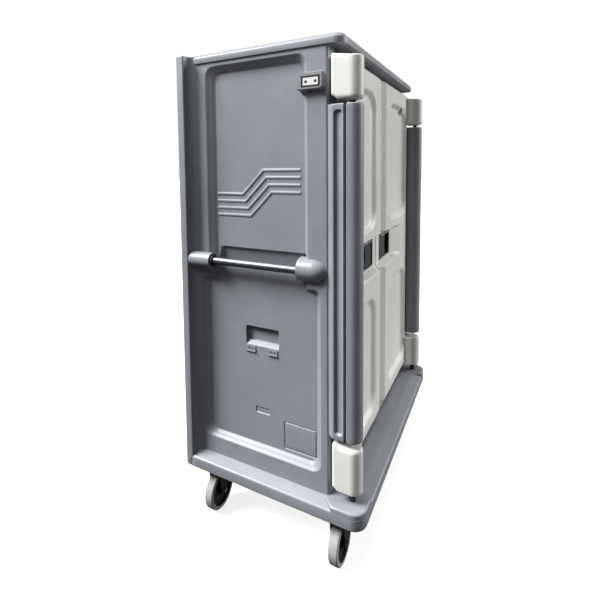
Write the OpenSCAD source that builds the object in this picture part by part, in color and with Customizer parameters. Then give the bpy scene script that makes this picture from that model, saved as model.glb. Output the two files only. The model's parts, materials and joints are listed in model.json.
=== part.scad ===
// Enclosed meal tray cart: a tall foam-filled polyethylene cabinet on four casters,
// with two doors on one long side, each swinging on corner pins to lie back along an end.
// Frame: +X is the door side, -Y the near end with its push handle, +Z up, floor at z = 0.

/* [Overall size] */
// Width across the bumper, door side to back
cart_w = 664; // [640:1:700]
// Length of the bumper, end to end
cart_l = 1084; // [1060:1:1140]
// Height from the floor to the roof
cart_h = 1650; // [1600:1:1700]

/* [Base bumper] */
// Height of the bumper's underside above the floor
base_z = 175; // [174:1:190]
// Height of the bumper's upright outer face
bumper_face_h = 39; // [30:1:50]
// Rise of the sloping shoulder above that face
shoulder_h = 16; // [8:1:24]
// Run of the shoulder in front of the doors
shoulder_door = 44; // [36:1:50]
// Corner radius of the bumper on the door side
bumper_corner_r = 45; // [30:1:50]
// Corner radius of the bumper on the back
bumper_back_r = 14; // [8:1:16]
// Length of a corner pad along the end
pad_end_len = 122; // [110:1:130]
// Length of a corner pad along the door side
pad_door_len = 96; // [90:1:110]

/* [Cabinet] */
// Setback of the end walls from the bumper
end_inset = 40; // [36:1:42]
// Thickness of an end wall
end_wall_t = 57; // [55:1:58]
// Setback of the back panel from the back edge
back_inset = 7; // [4:1:12]
// Thickness of the back panel
back_t = 40; // [30:1:50]
// Thickness of the cabinet floor
deck_t = 28; // [20:1:30]
// Thickness of the roof
roof_t = 31; // [26:1:36]
// Setback of the roof from the bumper on the door side
roof_inset = 71; // [66:1:74]
// How far the roof stands out over the end walls
roof_overhang = 5; // [2:1:8]
// Corner radius of the roof
roof_corner_r = 34; // [20:1:40]
// Half thickness of the centre partition
partition_half = 65; // [50:1:70]
// Thickness of the front frame that the doors close on
front_frame_t = 20; // [14:1:30]
// Half width of the front frame's middle post
mullion_half = 81; // [80:1:84]
// Width of the front frame's side rails
jamb_w = 13; // [12:1:16]
// Width of the front frame's top rail
header_h = 42; // [30:1:60]
// Width of the front frame's bottom rail
sill_h = 32; // [30:1:40]

/* [Corner columns] */
// Width of a back corner column
back_column_w = 32; // [26:1:40]
// Radius of the round hinge column and of the door ears
lobe_r = 31.5; // [30:0.5:33]
// Setback of the hinge pin from the bumper's door edge
pin_inset_x = 51; // [48:1:54]
// Setback of the hinge pin from the bumper's end
pin_inset_y = 60; // [58:1:63]
// Width of the grooves in the hinge column
groove_w = 6; // [4:1:8]

/* [End panel] */
// Depth of the recessed end panel
panel_depth = 20; // [14:1:22]
// Width of the recess's curved edge
panel_edge = 24; // [16:1:28]
// Corner radius of the recess
panel_corner_r = 34; // [30:1:44]
// Left and right edges of the upper recess
upper_panel_x = [-240, 143];
// Left and right edges of the lower recess
lower_panel_x = [-270, 185];
// Border of the recess below the roof
panel_top_border = 14; // [10:1:30]
// Border of the recess above the bumper
panel_bottom_border = 60; // [50:1:80]
// Height where the recess widens, above the floor
panel_step_z = 882; // [860:1:884]
// Height of the raised ribs on the panel
rib_h = 3; // [1:0.5:5]
// Width of a raised rib
rib_w = 9; // [5:1:12]
// Spacing of the raised ribs
rib_pitch = 24; // [18:1:30]
// Number of raised ribs
rib_count = 4; // [2:1:5]

/* [Push handle] */
// Height of the handle above the floor
handle_z = 942; // [930:1:960]
// Outside diameter of the handle tube
handle_d = 26; // [22:1:30]
// Wall of the handle tube
handle_wall = 2; // [1.5:0.5:4]
// How far the tube's axis stands out of the end wall
handle_out = 14; // [8:1:15]
// Radius of the domed boss on the door side
dome_r = 35.5; // [32:0.5:37]
// How far the domed boss stands out of the end wall
dome_out = 27.5; // [24:0.5:28]
// Radius of the round boss at the back column
boss_r = 26; // [24:1:26]
// Ends of the open stretch of the tube
handle_x = [-210, 112];
// Depth of the finger pocket below the panel
finger_depth = 28; // [20:1:30]

/* [Menu card pocket] */
// Left and right edges of the pocket
menu_x = [-99, 29];
// Top of the pocket
menu_top_z = 721; // [715:1:730]
// Height of the pocket's mouth
menu_h = 66; // [50:1:80]
// Depth of the pocket behind the panel
menu_depth = 30; // [20:1:32]

/* [Door magnet] */
// Middle of the magnet across the end
magnet_x = 163; // [155:1:170]
// How far the magnet's middle lies below the roof lid
magnet_drop = 105; // [95:1:115]
// How far the magnet's boss stands out of the end wall
magnet_out = 18; // [14:1:20]

/* [Doors] */
// Setback of the doors' outer face from the bumper
door_inset = 82; // [81:1:84]
// Thickness of a door
door_t = 60; // [54:1:64]
// Gap between each door and the middle of the cart
door_seam = 2; // [2:0.5:4]
// Gap between the bumper and the doors
door_bottom_gap = 46; // [40:1:56]
// Gap between the doors and the roof
door_top_gap = 29; // [24:1:40]
// Gap between a door's hinge edge and its column
hinge_edge_gap = 10; // [8:1:12]
// Width of the slope beside the doors' meeting line
bevel_w = 41; // [30:1:50]
// Depth of that slope
bevel_d = 26; // [20:1:30]
// Depth of the recessed door panels
door_panel_depth = 15; // [8:1:18]
// Depth of the latch pocket across both doors
latch_pocket_depth = 31; // [28:1:33]
// Height of the latch pocket
latch_pocket_h = 150; // [130:1:160]
// Height of the latches' middle above the floor
latch_z = 922; // [915:1:930]
// Thickness of the door gasket
gasket_t = 5.7; // [4:0.1:8]

/* [Door ears and pins] */
// Height of the upper ear
upper_ear_h = 132; // [120:1:140]
// Height of the lower ear
lower_ear_h = 153; // [140:1:160]
// Gap between the bumper's pad and the lower ear
ear_bottom_gap = 32; // [28:1:36]
// Gap between the upper ear and the roof
ear_top_gap = 31; // [26:1:36]
// Gap between an ear and the end of its column
ear_gap = 12; // [8:1:16]
// How far an ear reaches inwards from its pin
ear_reach = 57; // [50:1:58]
// Room round the ear's swing
ear_clear = 4; // [2:1:5]
// Radius of a hinge pin
pin_r = 9; // [7:0.5:10]
// Running clearance of a pin in its bush
run_clear = 0.05; // [0.02:0.01:0.08]
// Wall of a bush
bush_wall = 4; // [3:0.5:6]
// Length of a bush
bush_len = 60; // [40:1:70]

/* [Latches] */
// Width of a latch pan
pan_w = 156; // [140:1:160]
// Height of a latch pan
pan_h = 106; // [90:1:112]
// Distance of a latch pan from the middle of the cart
pan_y = 56; // [54:1:60]
// Travel of the spring tongue
tongue_travel = 3; // [2.5:0.5:4]
// Radius of the spring tongue
tongue_r = 4; // [3:0.5:4.5]

/* [Casters] */
// Diameter of a wheel
wheel_d = 140; // [136:1:142]
// Width of a wheel
wheel_w = 32; // [28:1:36]
// Thickness of the tyre
tyre_t = 13; // [8:1:18]
// How far the wheels' middles lie in from the cart's long sides
wheel_side_inset = 96; // [85:1:112]
// Setback of the fixed wheels from the near end of the bumper
wheel_inset = 71; // [71:1:90]
// Setback of the swivel pins from the far end of the bumper
swivel_inset = 112; // [108:1:140]
// Trail of the swivel wheels behind their pins
trail = 36; // [30:1:40]
// Thickness of the fork's sheet
fork_t = 4; // [3:0.5:5]
// Radius of an axle
axle_r = 5; // [4:0.5:6]

/* [Tray rails] */
// Spacing of the tray rails
rail_pitch = 127; // [110:1:128]
// Number of tray levels
rail_count = 10; // [8:1:10]
// Width of a tray ledge
ledge_w = 22; // [16:1:24]
// Thickness of the rails' sheet
rail_t = 1.5; // [1:0.1:2]

/* [Hidden] */
$fn = 48;

// Rest gap between parts that move against each other, and overlap of a cutter past a face.
gap = 0.3;
over = 1;

// Planes across the cart.
x_side = cart_w / 2;
y_end = cart_l / 2;
face_z = base_z + bumper_face_h;
deck_z = face_z + shoulder_h;
wall_y = y_end - end_inset;
inner_y = wall_y - end_wall_t;
back_x = -x_side + back_inset;
back_inner_x = back_x + back_t;
door_x = x_side - door_inset;
door_back_x = door_x - door_t;
frame_x = door_back_x - gasket_t - gap;
frame_back_x = frame_x - front_frame_t;
roof_z = cart_h - roof_t;
magnet_z = roof_z - magnet_drop;
wheel_track = cart_w - 2 * wheel_side_inset;
roof_x = x_side - roof_inset;
roof_y = wall_y + roof_overhang;
floor_z = deck_z + deck_t;

// Hinge pins, ears and the column between them.
pin_x = x_side - pin_inset_x;
pin_y = -y_end + pin_inset_y;
ear_swing_r = sqrt(ear_reach * ear_reach + lobe_r * lobe_r);
notch_x = pin_x - ear_swing_r - ear_clear;
lower_ear_z = deck_z + ear_bottom_gap;
lower_ear_top = lower_ear_z + lower_ear_h;
upper_ear_top = roof_z - ear_top_gap;
upper_ear_z = upper_ear_top - upper_ear_h;
column_z0 = lower_ear_top + ear_gap;
column_z1 = upper_ear_z - ear_gap;

// Doors, in the near door's place.
door_z0 = deck_z + door_bottom_gap;
door_z1 = roof_z - door_top_gap;
door_y0 = pin_y + lobe_r + hinge_edge_gap;
door_y1 = -door_seam;
pocket_x = door_x - latch_pocket_depth;

// Colours.
shell_grey = "#8b8f98";
door_white = "#d9d8d3";
black = "#1d1e20";
steel = "#b9bcc0";

// A block between two corners.
module block(lo, hi) {
    translate(lo) cube(hi - lo);
}

// An upright cylinder from z0 to z1.
module post(x, y, z0, z1, r) {
    translate([x, y, z0]) cylinder(h = z1 - z0, r = r);
}

// A round bar along X, and one along Y.
module bar_x(x0, x1, y, z, r) {
    translate([x0, y, z]) rotate([0, 90, 0]) cylinder(h = x1 - x0, r = r);
}

module bar_y(x, y0, y1, z, r) {
    translate([x, y0, z]) rotate([-90, 0, 0]) cylinder(h = y1 - y0, r = r);
}

// A rectangle with round corners, between two corners.
module round_rect(lo, hi, r) {
    translate([lo[0] + r, lo[1]]) square([hi[0] - lo[0] - 2 * r, hi[1] - lo[1]]);
    translate([lo[0], lo[1] + r]) square([hi[0] - lo[0], hi[1] - lo[1] - 2 * r]);
    for (x = [lo[0] + r, hi[0] - r], y = [lo[1] + r, hi[1] - r])
        translate([x, y]) circle(r = r);
}

// Outer half of a recess's section: a flat rim, then an S-curved edge down to the floor.
function ease(t) = t * t * (3 - 2 * t);
function dish_edge(half, depth, edge) =
    concat([[half, over], [half, 0]],
           [for (i = [1:8]) [half - edge * i / 8, -depth * ease(i / 8)]]);
function mirrored(points) = [for (i = [len(points) - 1:-1:0]) [-points[i][0], points[i][1]]];

// Cutter for a recess with round corners and S-curved edges, sunk below z = 0.
module dish(lo, hi, r, depth, edge) {
    w = hi[0] - lo[0];
    h = hi[1] - lo[1];
    translate([(lo[0] + hi[0]) / 2, (lo[1] + hi[1]) / 2, 0]) {
        across = dish_edge(w / 2, depth, edge);
        along = dish_edge(h / 2, depth, edge);
        rotate([90, 0, 0]) linear_extrude(h - 2 * r, center = true)
            polygon(concat(across, mirrored(across)));
        rotate([90, 0, 90]) linear_extrude(w - 2 * r, center = true)
            polygon(concat(along, mirrored(along)));
        for (sx = [-1, 1], sy = [-1, 1])
            translate([sx * (w / 2 - r), sy * (h / 2 - r), 0])
                rotate_extrude() polygon(concat([[0, -depth], [0, over]], dish_edge(r, depth, edge)));
    }
}

// Places drawn flat, x to the right and y up, on the end wall, the doors and the back.
module on_end() {
    translate([0, -wall_y, 0]) rotate([90, 0, 0]) children();
}

module on_door() {
    translate([door_x, 0, 0]) rotate([90, 0, 90]) children();
}

module on_back() {
    translate([back_x, 0, 0]) rotate([90, 0, -90]) children();
}

module far() {
    mirror([0, 1, 0]) children();
}

// ---- Cabinet ----

// Plan of the bumper: large corners by the doors, small ones at the back.
module bumper_plan() {
    intersection() {
        round_rect([-x_side - bumper_corner_r, -y_end], [x_side, y_end], bumper_corner_r);
        round_rect([-x_side, -y_end], [x_side + bumper_back_r, y_end], bumper_back_r);
    }
}

module corner_pad_plan() {
    intersection() {
        bumper_plan();
        polygon([
            [x_side - pad_end_len - end_inset / 2, -wall_y], [x_side - pad_end_len + end_inset / 2, -y_end],
            [x_side, -y_end], [x_side, -y_end + pad_door_len],
            [x_side - shoulder_door, -y_end + pad_door_len + shoulder_door / 2],
            [x_side - pad_end_len - end_inset / 2, -y_end + pad_door_len + shoulder_door / 2]
        ]);
    }
}

module base_bumper() color(shell_grey) difference() {
    union() {
        intersection() {
            translate([0, 0, base_z]) linear_extrude(deck_z - base_z) bumper_plan();
            rotate([90, 0, 0]) linear_extrude(cart_l + 2 * over, center = true) polygon([
                [-x_side - over, base_z], [x_side, base_z], [x_side, face_z],
                [x_side - shoulder_door, deck_z], [-x_side - over, deck_z]
            ]);
            rotate([90, 0, 90]) linear_extrude(cart_w + 2 * over, center = true) polygon([
                [-y_end, base_z], [y_end, base_z], [y_end, face_z], [wall_y, deck_z],
                [-wall_y, deck_z], [-y_end, face_z]
            ]);
        }
        for (m = [0, 1]) mirror([0, m, 0]) {
            translate([0, 0, base_z]) linear_extrude(deck_z - base_z) corner_pad_plan();
            // The back corner columns run down the bumper's face.
            translate([0, 0, base_z]) linear_extrude(deck_z - base_z) back_column_plan();
        }
    }
    for (m = [0, 1]) mirror([0, m, 0])
        post(pin_x, pin_y, deck_z - pin_seat, deck_z + over, pin_r + run_clear);
}

// Depth that a hinge pin is seated in the bumper and in the column.
pin_seat = 36;

// Plan of a back corner column: it wraps the corner and stands proud of the end wall.
module back_column_plan() {
    x1 = -x_side + back_column_w;
    round_rect([-x_side, -y_end], [x1, -wall_y + 2 * groove_w], groove_w);
    intersection() {
        translate([-x_side, -y_end]) square([back_column_w, end_inset]);
        translate([-x_side + bumper_back_r, -y_end + bumper_back_r]) circle(r = bumper_back_r);
    }
}

// Plan of the hinge column between a door's ears: a ramp to a flat front, a groove and a lobe.
lobe_groove_x = pin_x - lobe_r / 2;
module hinge_column_plan() {
    front_y = pin_y - lobe_r;
    difference() {
        union() {
            polygon([
                [notch_x - over, pin_y + lobe_r], [notch_x - over, -wall_y],
                [notch_x + groove_w / 3, -wall_y], [notch_x + 2.5 * groove_w, front_y],
                [lobe_groove_x, front_y], [lobe_groove_x, pin_y], [pin_x, pin_y], [pin_x, pin_y + lobe_r]
            ]);
            translate([pin_x, pin_y]) circle(r = lobe_r);
        }
        translate([lobe_groove_x, front_y + groove_w / 4]) circle(r = groove_w * 0.9);
    }
}

// Channel down the column's front, with round ends.
channel_w = 20;
channel_depth = 8;
module column_channel() {
    x0 = notch_x + 3.4 * groove_w;
    translate([0, pin_y - lobe_r + channel_depth, 0]) rotate([90, 0, 0])
        linear_extrude(2 * channel_depth)
            round_rect([x0, column_z0 + 3 * groove_w], [x0 + channel_w, column_z1 - 3 * groove_w],
                       channel_w / 2 - 1);
}

// The magnet's rounded block, below z = 0 by the recess and above by magnet_out.
magnet_block = [88, 64];
module magnet_boss(margin, z0, z1) {
    translate([magnet_x, magnet_z, z0]) linear_extrude(z1 - z0)
        round_rect(-magnet_block / 2 + [margin, margin], magnet_block / 2 - [margin, margin], 14);
}

// Raised stripes: level, then a rise at 45 degrees, then level again, with mitred bends.
stripe_x = [-208, -72, 8, 114];
stripe_z = 1100;
module stripe(level) {
    rise = stripe_x[2] - stripe_x[1];
    shift = -level * tan(22.5);
    z0 = stripe_z + level;
    half = rib_w / 2;
    mitre = half * tan(22.5);
    a = [stripe_x[1] + shift, z0];
    b = [stripe_x[2] + shift, z0 + rise];
    polygon([
        [stripe_x[0], z0 - half], a + [mitre, -half], b + [mitre, -half], [stripe_x[3], b[1] - half],
        [stripe_x[3], b[1] + half], b + [-mitre, half], a + [-mitre, half], [stripe_x[0], z0 + half]
    ]);
}

// The end wall's panel recess in two widths, before pockets.
module panel_recess() {
    z_low = deck_z + panel_bottom_border;
    z_high = roof_z - panel_top_border;
    dish([lower_panel_x[0], z_low], [lower_panel_x[1], panel_step_z],
         panel_corner_r, panel_depth, panel_edge);
    dish([upper_panel_x[0], panel_step_z - 4 * panel_corner_r], [upper_panel_x[1], z_high],
         panel_corner_r, panel_depth, panel_edge);
}

module finger_pocket() {
    depth = panel_depth + finger_depth;
    rotate([90, 0, 90]) translate([0, 0, handle_x[0] + boss_r])
        linear_extrude(handle_x[1] - handle_x[0] - boss_r)
        polygon([
            [handle_z + 48, -panel_depth + over], [handle_z + 42, -depth],
            [handle_z - 2, -depth], [handle_z - 40, -panel_depth + over]
        ]);
}

module menu_pocket() {
    z0 = menu_top_z - menu_h;
    rotate([90, 0, 90]) translate([0, 0, menu_x[0]]) linear_extrude(menu_x[1] - menu_x[0]) polygon([
        [menu_top_z, -panel_depth + over], [menu_top_z, -panel_depth - menu_depth],
        [z0 + menu_h / 3, -panel_depth - menu_depth], [z0 + menu_h / 4, -panel_depth - menu_depth / 2],
        [z0, -panel_depth + over]
    ]);
}

handle_y = -wall_y - handle_out;
dome_y = -wall_y - dome_out + dome_r;
dome_x = handle_x[1] + dome_r * 5 / 3;
socket_depth = 26;

// A round bar with a domed end, turned about its own axis, from z = 0 up.
module domed_bar(length, r) {
    rotate_extrude() intersection() {
        union() {
            square([r, length]);
            translate([0, length]) circle(r = r);
        }
        square([2 * r, length + 2 * r]);
    }
}

module handle_bosses() {
    boss_x = -x_side + back_column_w / 2 + boss_r;
    translate([handle_x[0], handle_y, handle_z]) rotate([0, -90, 0])
        domed_bar(handle_x[0] - boss_x, boss_r);
    intersection() {
        translate([handle_x[1], dome_y, handle_z]) rotate([0, 90, 0])
            domed_bar(dome_x - handle_x[1], dome_r);
        block([0, -y_end, 0], [notch_x, -wall_y + panel_depth + over, cart_h]);
    }
}

// Depth of the outlined label fields, and their corners on the panel.
field_depth = 1.5;
label_fields = [[[-64, 418], [-11, 441]], [[48, 323], [161, 413]]];

module end_wall() {
    difference() {
        union() {
            difference() {
                union() {
                    block([-x_side + back_inset, -wall_y, deck_z], [notch_x, -inner_y, roof_z]);
                    translate([0, 0, deck_z]) linear_extrude(roof_z - deck_z) back_column_plan();
                    translate([0, 0, roof_z - over]) linear_extrude(roof_t - groove_w + over)
                        intersection() {
                            back_column_plan();
                            translate([-x_side, -y_end])
                                square([back_column_w, end_inset - roof_overhang - gap]);
                        }
                    translate([0, 0, column_z0]) linear_extrude(column_z1 - column_z0) hinge_column_plan();
                }
                on_end() panel_recess();
            }
            handle_bosses();
            on_end() {
                magnet_boss(0, -panel_depth - over, magnet_out);
                translate([0, 0, -panel_depth - over]) linear_extrude(rib_h + over)
                    for (i = [0:rib_count - 1]) stripe(i * rib_pitch);
            }
        }
        on_end() {
            finger_pocket();
            menu_pocket();
            for (f = label_fields) translate([0, 0, -panel_depth - field_depth])
                linear_extrude(panel_depth) round_rect(f[0], f[1], 3);
            translate([magnet_x, magnet_z, magnet_out - magnet_seat])
                linear_extrude(magnet_seat + over) round_rect(-magnet_case / 2, magnet_case / 2, 2);
        }
        bar_x(handle_x[0] - socket_depth, handle_x[1] + socket_depth, handle_y, handle_z,
              handle_d / 2 + run_clear);
        column_channel();
        // Seat of the upper hinge pin.
        post(pin_x, pin_y, column_z1 - pin_seat, column_z1 + over, pin_r + run_clear);
    }
}

module end_wall_near() color(shell_grey) end_wall();
module end_wall_far() color(shell_grey) far() end_wall();

module back_panel() color(shell_grey) difference() {
    block([back_x, -inner_y, deck_z], [back_inner_x, inner_y, roof_z]);
    on_back() for (side = [-1, 1]) {
        lo = min(side * panel_edge, side * (inner_y - 2 * panel_edge));
        hi = max(side * panel_edge, side * (inner_y - 2 * panel_edge));
        for (zone = [[deck_z + panel_bottom_border, latch_z - 2 * panel_edge],
                     [latch_z + 2 * panel_edge, roof_z - 2 * panel_edge]])
            dish([lo, zone[0]], [hi, zone[1]], panel_corner_r, panel_edge / 2, panel_edge);
    }
}

// The roof is a lid with a lip band round its edge and a shallow tray on top.
module roof_plan(inset) {
    intersection() {
        round_rect([back_x - roof_corner_r, -roof_y + inset], [roof_x - inset, roof_y - inset],
                   roof_corner_r - inset);
        translate([back_x, -y_end]) square([cart_w, cart_l]);
    }
}

roof_lip = 18;
lip_step = 3;
module roof() color(shell_grey) difference() {
    union() {
        translate([0, 0, cart_h - roof_lip]) linear_extrude(roof_lip) roof_plan(0);
        translate([0, 0, roof_z]) linear_extrude(roof_t) roof_plan(lip_step);
    }
    translate([0, 0, cart_h]) dish([back_x + roof_corner_r, -roof_y + roof_corner_r],
        [roof_x - roof_corner_r, roof_y - roof_corner_r], roof_corner_r, lip_step * 2, lip_step * 4);
}

module cabinet_floor() color(shell_grey)
    block([back_inner_x, -inner_y, deck_z], [frame_x, inner_y, floor_z]);

module front_frame() color(shell_grey) difference() {
    block([frame_back_x, -inner_y, floor_z], [frame_x, inner_y, roof_z]);
    for (m = [0, 1]) mirror([0, m, 0]) rotate([90, 0, 90]) translate([0, 0, frame_back_x - over])
        linear_extrude(front_frame_t + 2 * over)
            round_rect([mullion_half, floor_z + sill_h], [inner_y - jamb_w, roof_z - header_h], 12);
    // Seats for the strike plates.
    for (side = [-1, 1])
        block([frame_x - strike_t, side * tongue_y - strike_w / 2, latch_z - strike_h / 2],
              [frame_x + over, side * tongue_y + strike_w / 2, latch_z + strike_h / 2]);
}

module centre_partition() color(shell_grey)
    block([back_inner_x, -partition_half, floor_z], [frame_back_x, partition_half, roof_z]);

// A rail panel: an upright sheet with a row of ledges, each with a turned-up toe.
rail_z = floor_z + 46;
module tray_rails(y, side) color(steel)
    rotate([90, 0, 90]) translate([0, 0, back_inner_x + groove_w])
        linear_extrude(frame_back_x - back_inner_x - 2 * groove_w) {
            edge = y + side * rail_t;
            translate([min(y, edge), floor_z + groove_w]) square([rail_t, roof_z - floor_z - 2 * groove_w]);
            for (i = [0:rail_count - 1]) {
                z = rail_z + i * rail_pitch;
                translate([min(y, y + side * ledge_w), z]) square([ledge_w, rail_t]);
                translate([min(y, y + side * ledge_w), z - 6 * rail_t]) polygon([
                    [side > 0 ? 0 : ledge_w, 0], [ledge_w / 2, 6 * rail_t + rail_t / 2],
                    [side > 0 ? 0 : ledge_w, 6 * rail_t + rail_t / 2]
                ]);
            }
        }

module tray_rails_near_outer() tray_rails(-inner_y, 1);
module tray_rails_near_inner() tray_rails(-partition_half, -1);
module tray_rails_far_inner() tray_rails(partition_half, 1);
module tray_rails_far_outer() tray_rails(inner_y, -1);

// ---- End fittings ----

module handle_bar() color("#55585c") difference() {
    bar_x(handle_x[0] - socket_depth + 1, handle_x[1] + socket_depth - 1, handle_y, handle_z, handle_d / 2);
    bar_x(handle_x[0] - socket_depth, handle_x[1] + socket_depth, handle_y, handle_z,
          handle_d / 2 - handle_wall);
}

module handle_bar_near() handle_bar();
module handle_bar_far() far() handle_bar();

// Rubber collars where the tube leaves its long bosses; the domes take it directly.
collar_w = 7;
module handle_collars() color(black)
    for (m = [0, 1]) mirror([0, m, 0]) difference() {
        bar_x(handle_x[0], handle_x[0] + collar_w, handle_y, handle_z, handle_d / 2 + 6);
        bar_x(handle_x[0] - over, handle_x[0] + collar_w + over, handle_y, handle_z,
              handle_d / 2 + run_clear);
    }

// Spring clips on the sill of the menu pocket.
clip = [38, 19, 2.5];
module menu_clips() color(shell_grey) for (m = [0, 1]) mirror([0, m, 0]) on_end()
    for (x = [menu_x[0] + clip[0] / 2, menu_x[1] - clip[0] * 0.65])
        translate([x - clip[0] / 2, menu_top_z - menu_h - 4 - clip[1], -panel_depth]) difference() {
            union() {
                cube(clip);
                cube([clip[0], clip[2], clip[2] * 2]);
            }
            for (u = [0.32, 0.68]) translate([clip[0] * u, clip[1] * 0.62, -over])
                cylinder(h = clip[2] + 2 * over, r = 1.6);
        }

// A magnet in its holder, flush in the boss, with a steel plate on its face.
magnet_case = [62, 34];
magnet_seat = 14;
magnet_plate = [48, 22, 3];
module magnet_holders() color(black) for (m = [0, 1]) mirror([0, m, 0]) on_end()
    translate([magnet_x, magnet_z, magnet_out - magnet_seat]) difference() {
        linear_extrude(magnet_seat)
            round_rect(-magnet_case / 2 + [gap, gap], magnet_case / 2 - [gap, gap], 2);
        translate([-magnet_plate[0] / 2, -magnet_plate[1] / 2, magnet_seat - magnet_plate[2]])
            cube(magnet_plate);
    }

module magnet_plates() color(steel) for (m = [0, 1]) mirror([0, m, 0]) on_end()
    translate([magnet_x, magnet_z, magnet_out - magnet_plate[2]]) difference() {
        translate([-magnet_plate[0] / 2, -magnet_plate[1] / 2, 0]) cube(magnet_plate);
        for (s = [-1, 1]) translate([s * magnet_plate[0] * 0.36, 0, magnet_plate[2] - 1])
            cylinder(h = 1 + over, r = 3);
    }

// Upper pins stand up out of the columns, lower pins out of the bumper's pads.
module upper_hinge_pins() color(black) for (m = [0, 1]) mirror([0, m, 0])
    post(pin_x, pin_y, column_z1 - pin_seat, upper_ear_z + bush_len, pin_r);

bush_flange_t = 3;
module lower_hinge_pins() color(black) for (m = [0, 1]) mirror([0, m, 0]) {
    post(pin_x, pin_y, deck_z - pin_seat, lower_ear_z + bush_len, pin_r);
    post(pin_x, pin_y, deck_z, lower_ear_z - bush_flange_t - gap, pin_r + 2);
}

// Strike plates let into the middle post, each with a dimple for its door's tongue.
tongue_y = 73;
strike_t = 6;
strike_out = 3;
strike_face_x = frame_x + strike_out;
strike_w = 15;
strike_h = 60;
nose_in = 2;
nose_len = 4;
dimple_room = 1.3;
module latch_strikes() color(steel) for (side = [-1, 1]) difference() {
    block([frame_x - strike_t, side * tongue_y - strike_w / 2, latch_z - strike_h / 2],
          [strike_face_x, side * tongue_y + strike_w / 2, latch_z + strike_h / 2]);
    for (dz = [-1, 1])
        bar_x(strike_face_x - 2, strike_face_x + over, side * tongue_y, latch_z + dz * strike_h / 3, 3);
    // Dimple that the tongue's nose rests in.
    translate([strike_face_x - nose_in - dimple_room, side * tongue_y, latch_z]) rotate([0, 90, 0])
        cylinder(h = nose_in + dimple_room + over,
                 r1 = tongue_r / 2 + dimple_room, r2 = tongue_r + dimple_room);
}

// ---- Doors, drawn in the near door's place ----

// Plan of a door: sloped to the meeting line, with its inner corner eased for the swing.
module door_plan() {
    polygon([
        [door_back_x, door_y0], [door_x, door_y0], [door_x, door_y1 - bevel_w],
        [door_x - bevel_d, door_y1], [pocket_x - groove_w, door_y1], [door_back_x, door_y1 - groove_w]
    ]);
}

// Plan of an ear: a round lobe on the pin, squared inwards and blended to the door's face.
module ear_plan() {
    blend_r = pin_x + lobe_r - door_x;
    x0 = pin_x - ear_reach;
    translate([pin_x, pin_y]) circle(r = lobe_r);
    translate([x0 + groove_w, pin_y - lobe_r]) square([ear_reach - groove_w, lobe_r]);
    translate([x0, pin_y - lobe_r + groove_w]) square([ear_reach, lobe_r]);
    translate([x0 + groove_w, pin_y - lobe_r + groove_w]) circle(r = groove_w);
    translate([x0, pin_y]) square([door_x - x0, door_y0 - pin_y + 2 * groove_w]);
    intersection() {
        translate([door_x - over, pin_y]) square([blend_r + over, blend_r]);
        translate([door_x, pin_y]) circle(r = blend_r);
    }
}

// An ear's block with a saddle scooped out of its outer end.
module ear(z0, z1, scoop_z) {
    difference() {
        translate([0, 0, z0]) linear_extrude(z1 - z0) ear_plan();
        bar_y(pin_x - ear_reach + 3 * groove_w, pin_y - lobe_r - over, pin_y - lobe_r / 3,
              scoop_z, 2 * groove_w);
    }
}

// Rounds the long edges of a door's outer face.
door_edge_r = 6;
module door_section() {
    translate([0, -cart_l / 2, 0]) rotate([-90, 0, 0]) linear_extrude(cart_l)
        mirror([0, 1]) intersection() {
            round_rect([door_back_x - door_edge_r, door_z0], [door_x, door_z1], door_edge_r);
            translate([door_back_x, 0]) square([door_t, cart_h]);
        }
}

panel_stile_y = 100;
latch_pocket_edge = 16;
module door_recesses() {
    r = 60;
    y1 = -panel_stile_y;
    y0 = door_y0 + 2 * groove_w;
    pocket_z0 = latch_z - latch_pocket_h / 2;
    pocket_z1 = latch_z + latch_pocket_h / 2;
    on_door() {
        dish([y0, pocket_z1 + 42], [y1, door_z1 - 82], r, door_panel_depth, 28);
        dish([y0, door_z0 + 60], [y1, pocket_z0 - 90], r, door_panel_depth, 28);
        // Pocket that crosses the meeting line of both doors.
        dish([-pan_y - pan_w - latch_pocket_edge - 2, pocket_z0], [r, pocket_z1],
             26, latch_pocket_depth, latch_pocket_edge);
    }
}

// Chamber for the latch pan and the tongue.
pan_flange = 3;
module latch_chamber() {
    y1 = -pan_y;
    block([pan_back_x - gap, y1 - pan_w - gap + pan_rim, latch_z - pan_h / 2 - gap + pan_rim],
          [door_x, y1 + gap - pan_rim, latch_z + pan_h / 2 + gap - pan_rim]);
    bar_x(door_back_x - over, door_x, -tongue_y, latch_z, tongue_r + tongue_guide_clear);
    bar_x(tongue_collar_x - gap, pan_back_x + over, -tongue_y, latch_z, spring_r + 1);
}

keeper = [60, 26, 1.5];
liner_depth = 6;
keeper_y = pin_y + (pin_x - magnet_x);
module door_leaf() {
    difference() {
        union() {
            difference() {
                intersection() {
                    translate([0, 0, door_z0]) linear_extrude(door_z1 - door_z0) door_plan();
                    door_section();
                }
                door_recesses();
            }
            ear(upper_ear_z, upper_ear_top, upper_ear_top + groove_w);
            ear(lower_ear_z, lower_ear_top, lower_ear_z - groove_w);
        }
        latch_chamber();
        for (z = [upper_ear_z, lower_ear_z])
            post(pin_x, pin_y, z - over, z + bush_len + 2, pin_r + bush_wall + 2 * run_clear);
        translate([door_x - keeper[2], keeper_y - keeper[0] / 2, magnet_z - keeper[1] / 2])
            cube([keeper[2] + over, keeper[0], keeper[1]]);
        // Liner field on the inner face.
        translate([door_back_x, 0, 0]) rotate([90, 0, -90])
            dish([panel_stile_y, door_z0 + 60], [-door_y0 - 50, door_z1 - 60],
                 40, liner_depth, 2 * liner_depth);
    }
}

module door_near() color(door_white) door_leaf();
module door_far() color(door_white) far() door_leaf();

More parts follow.
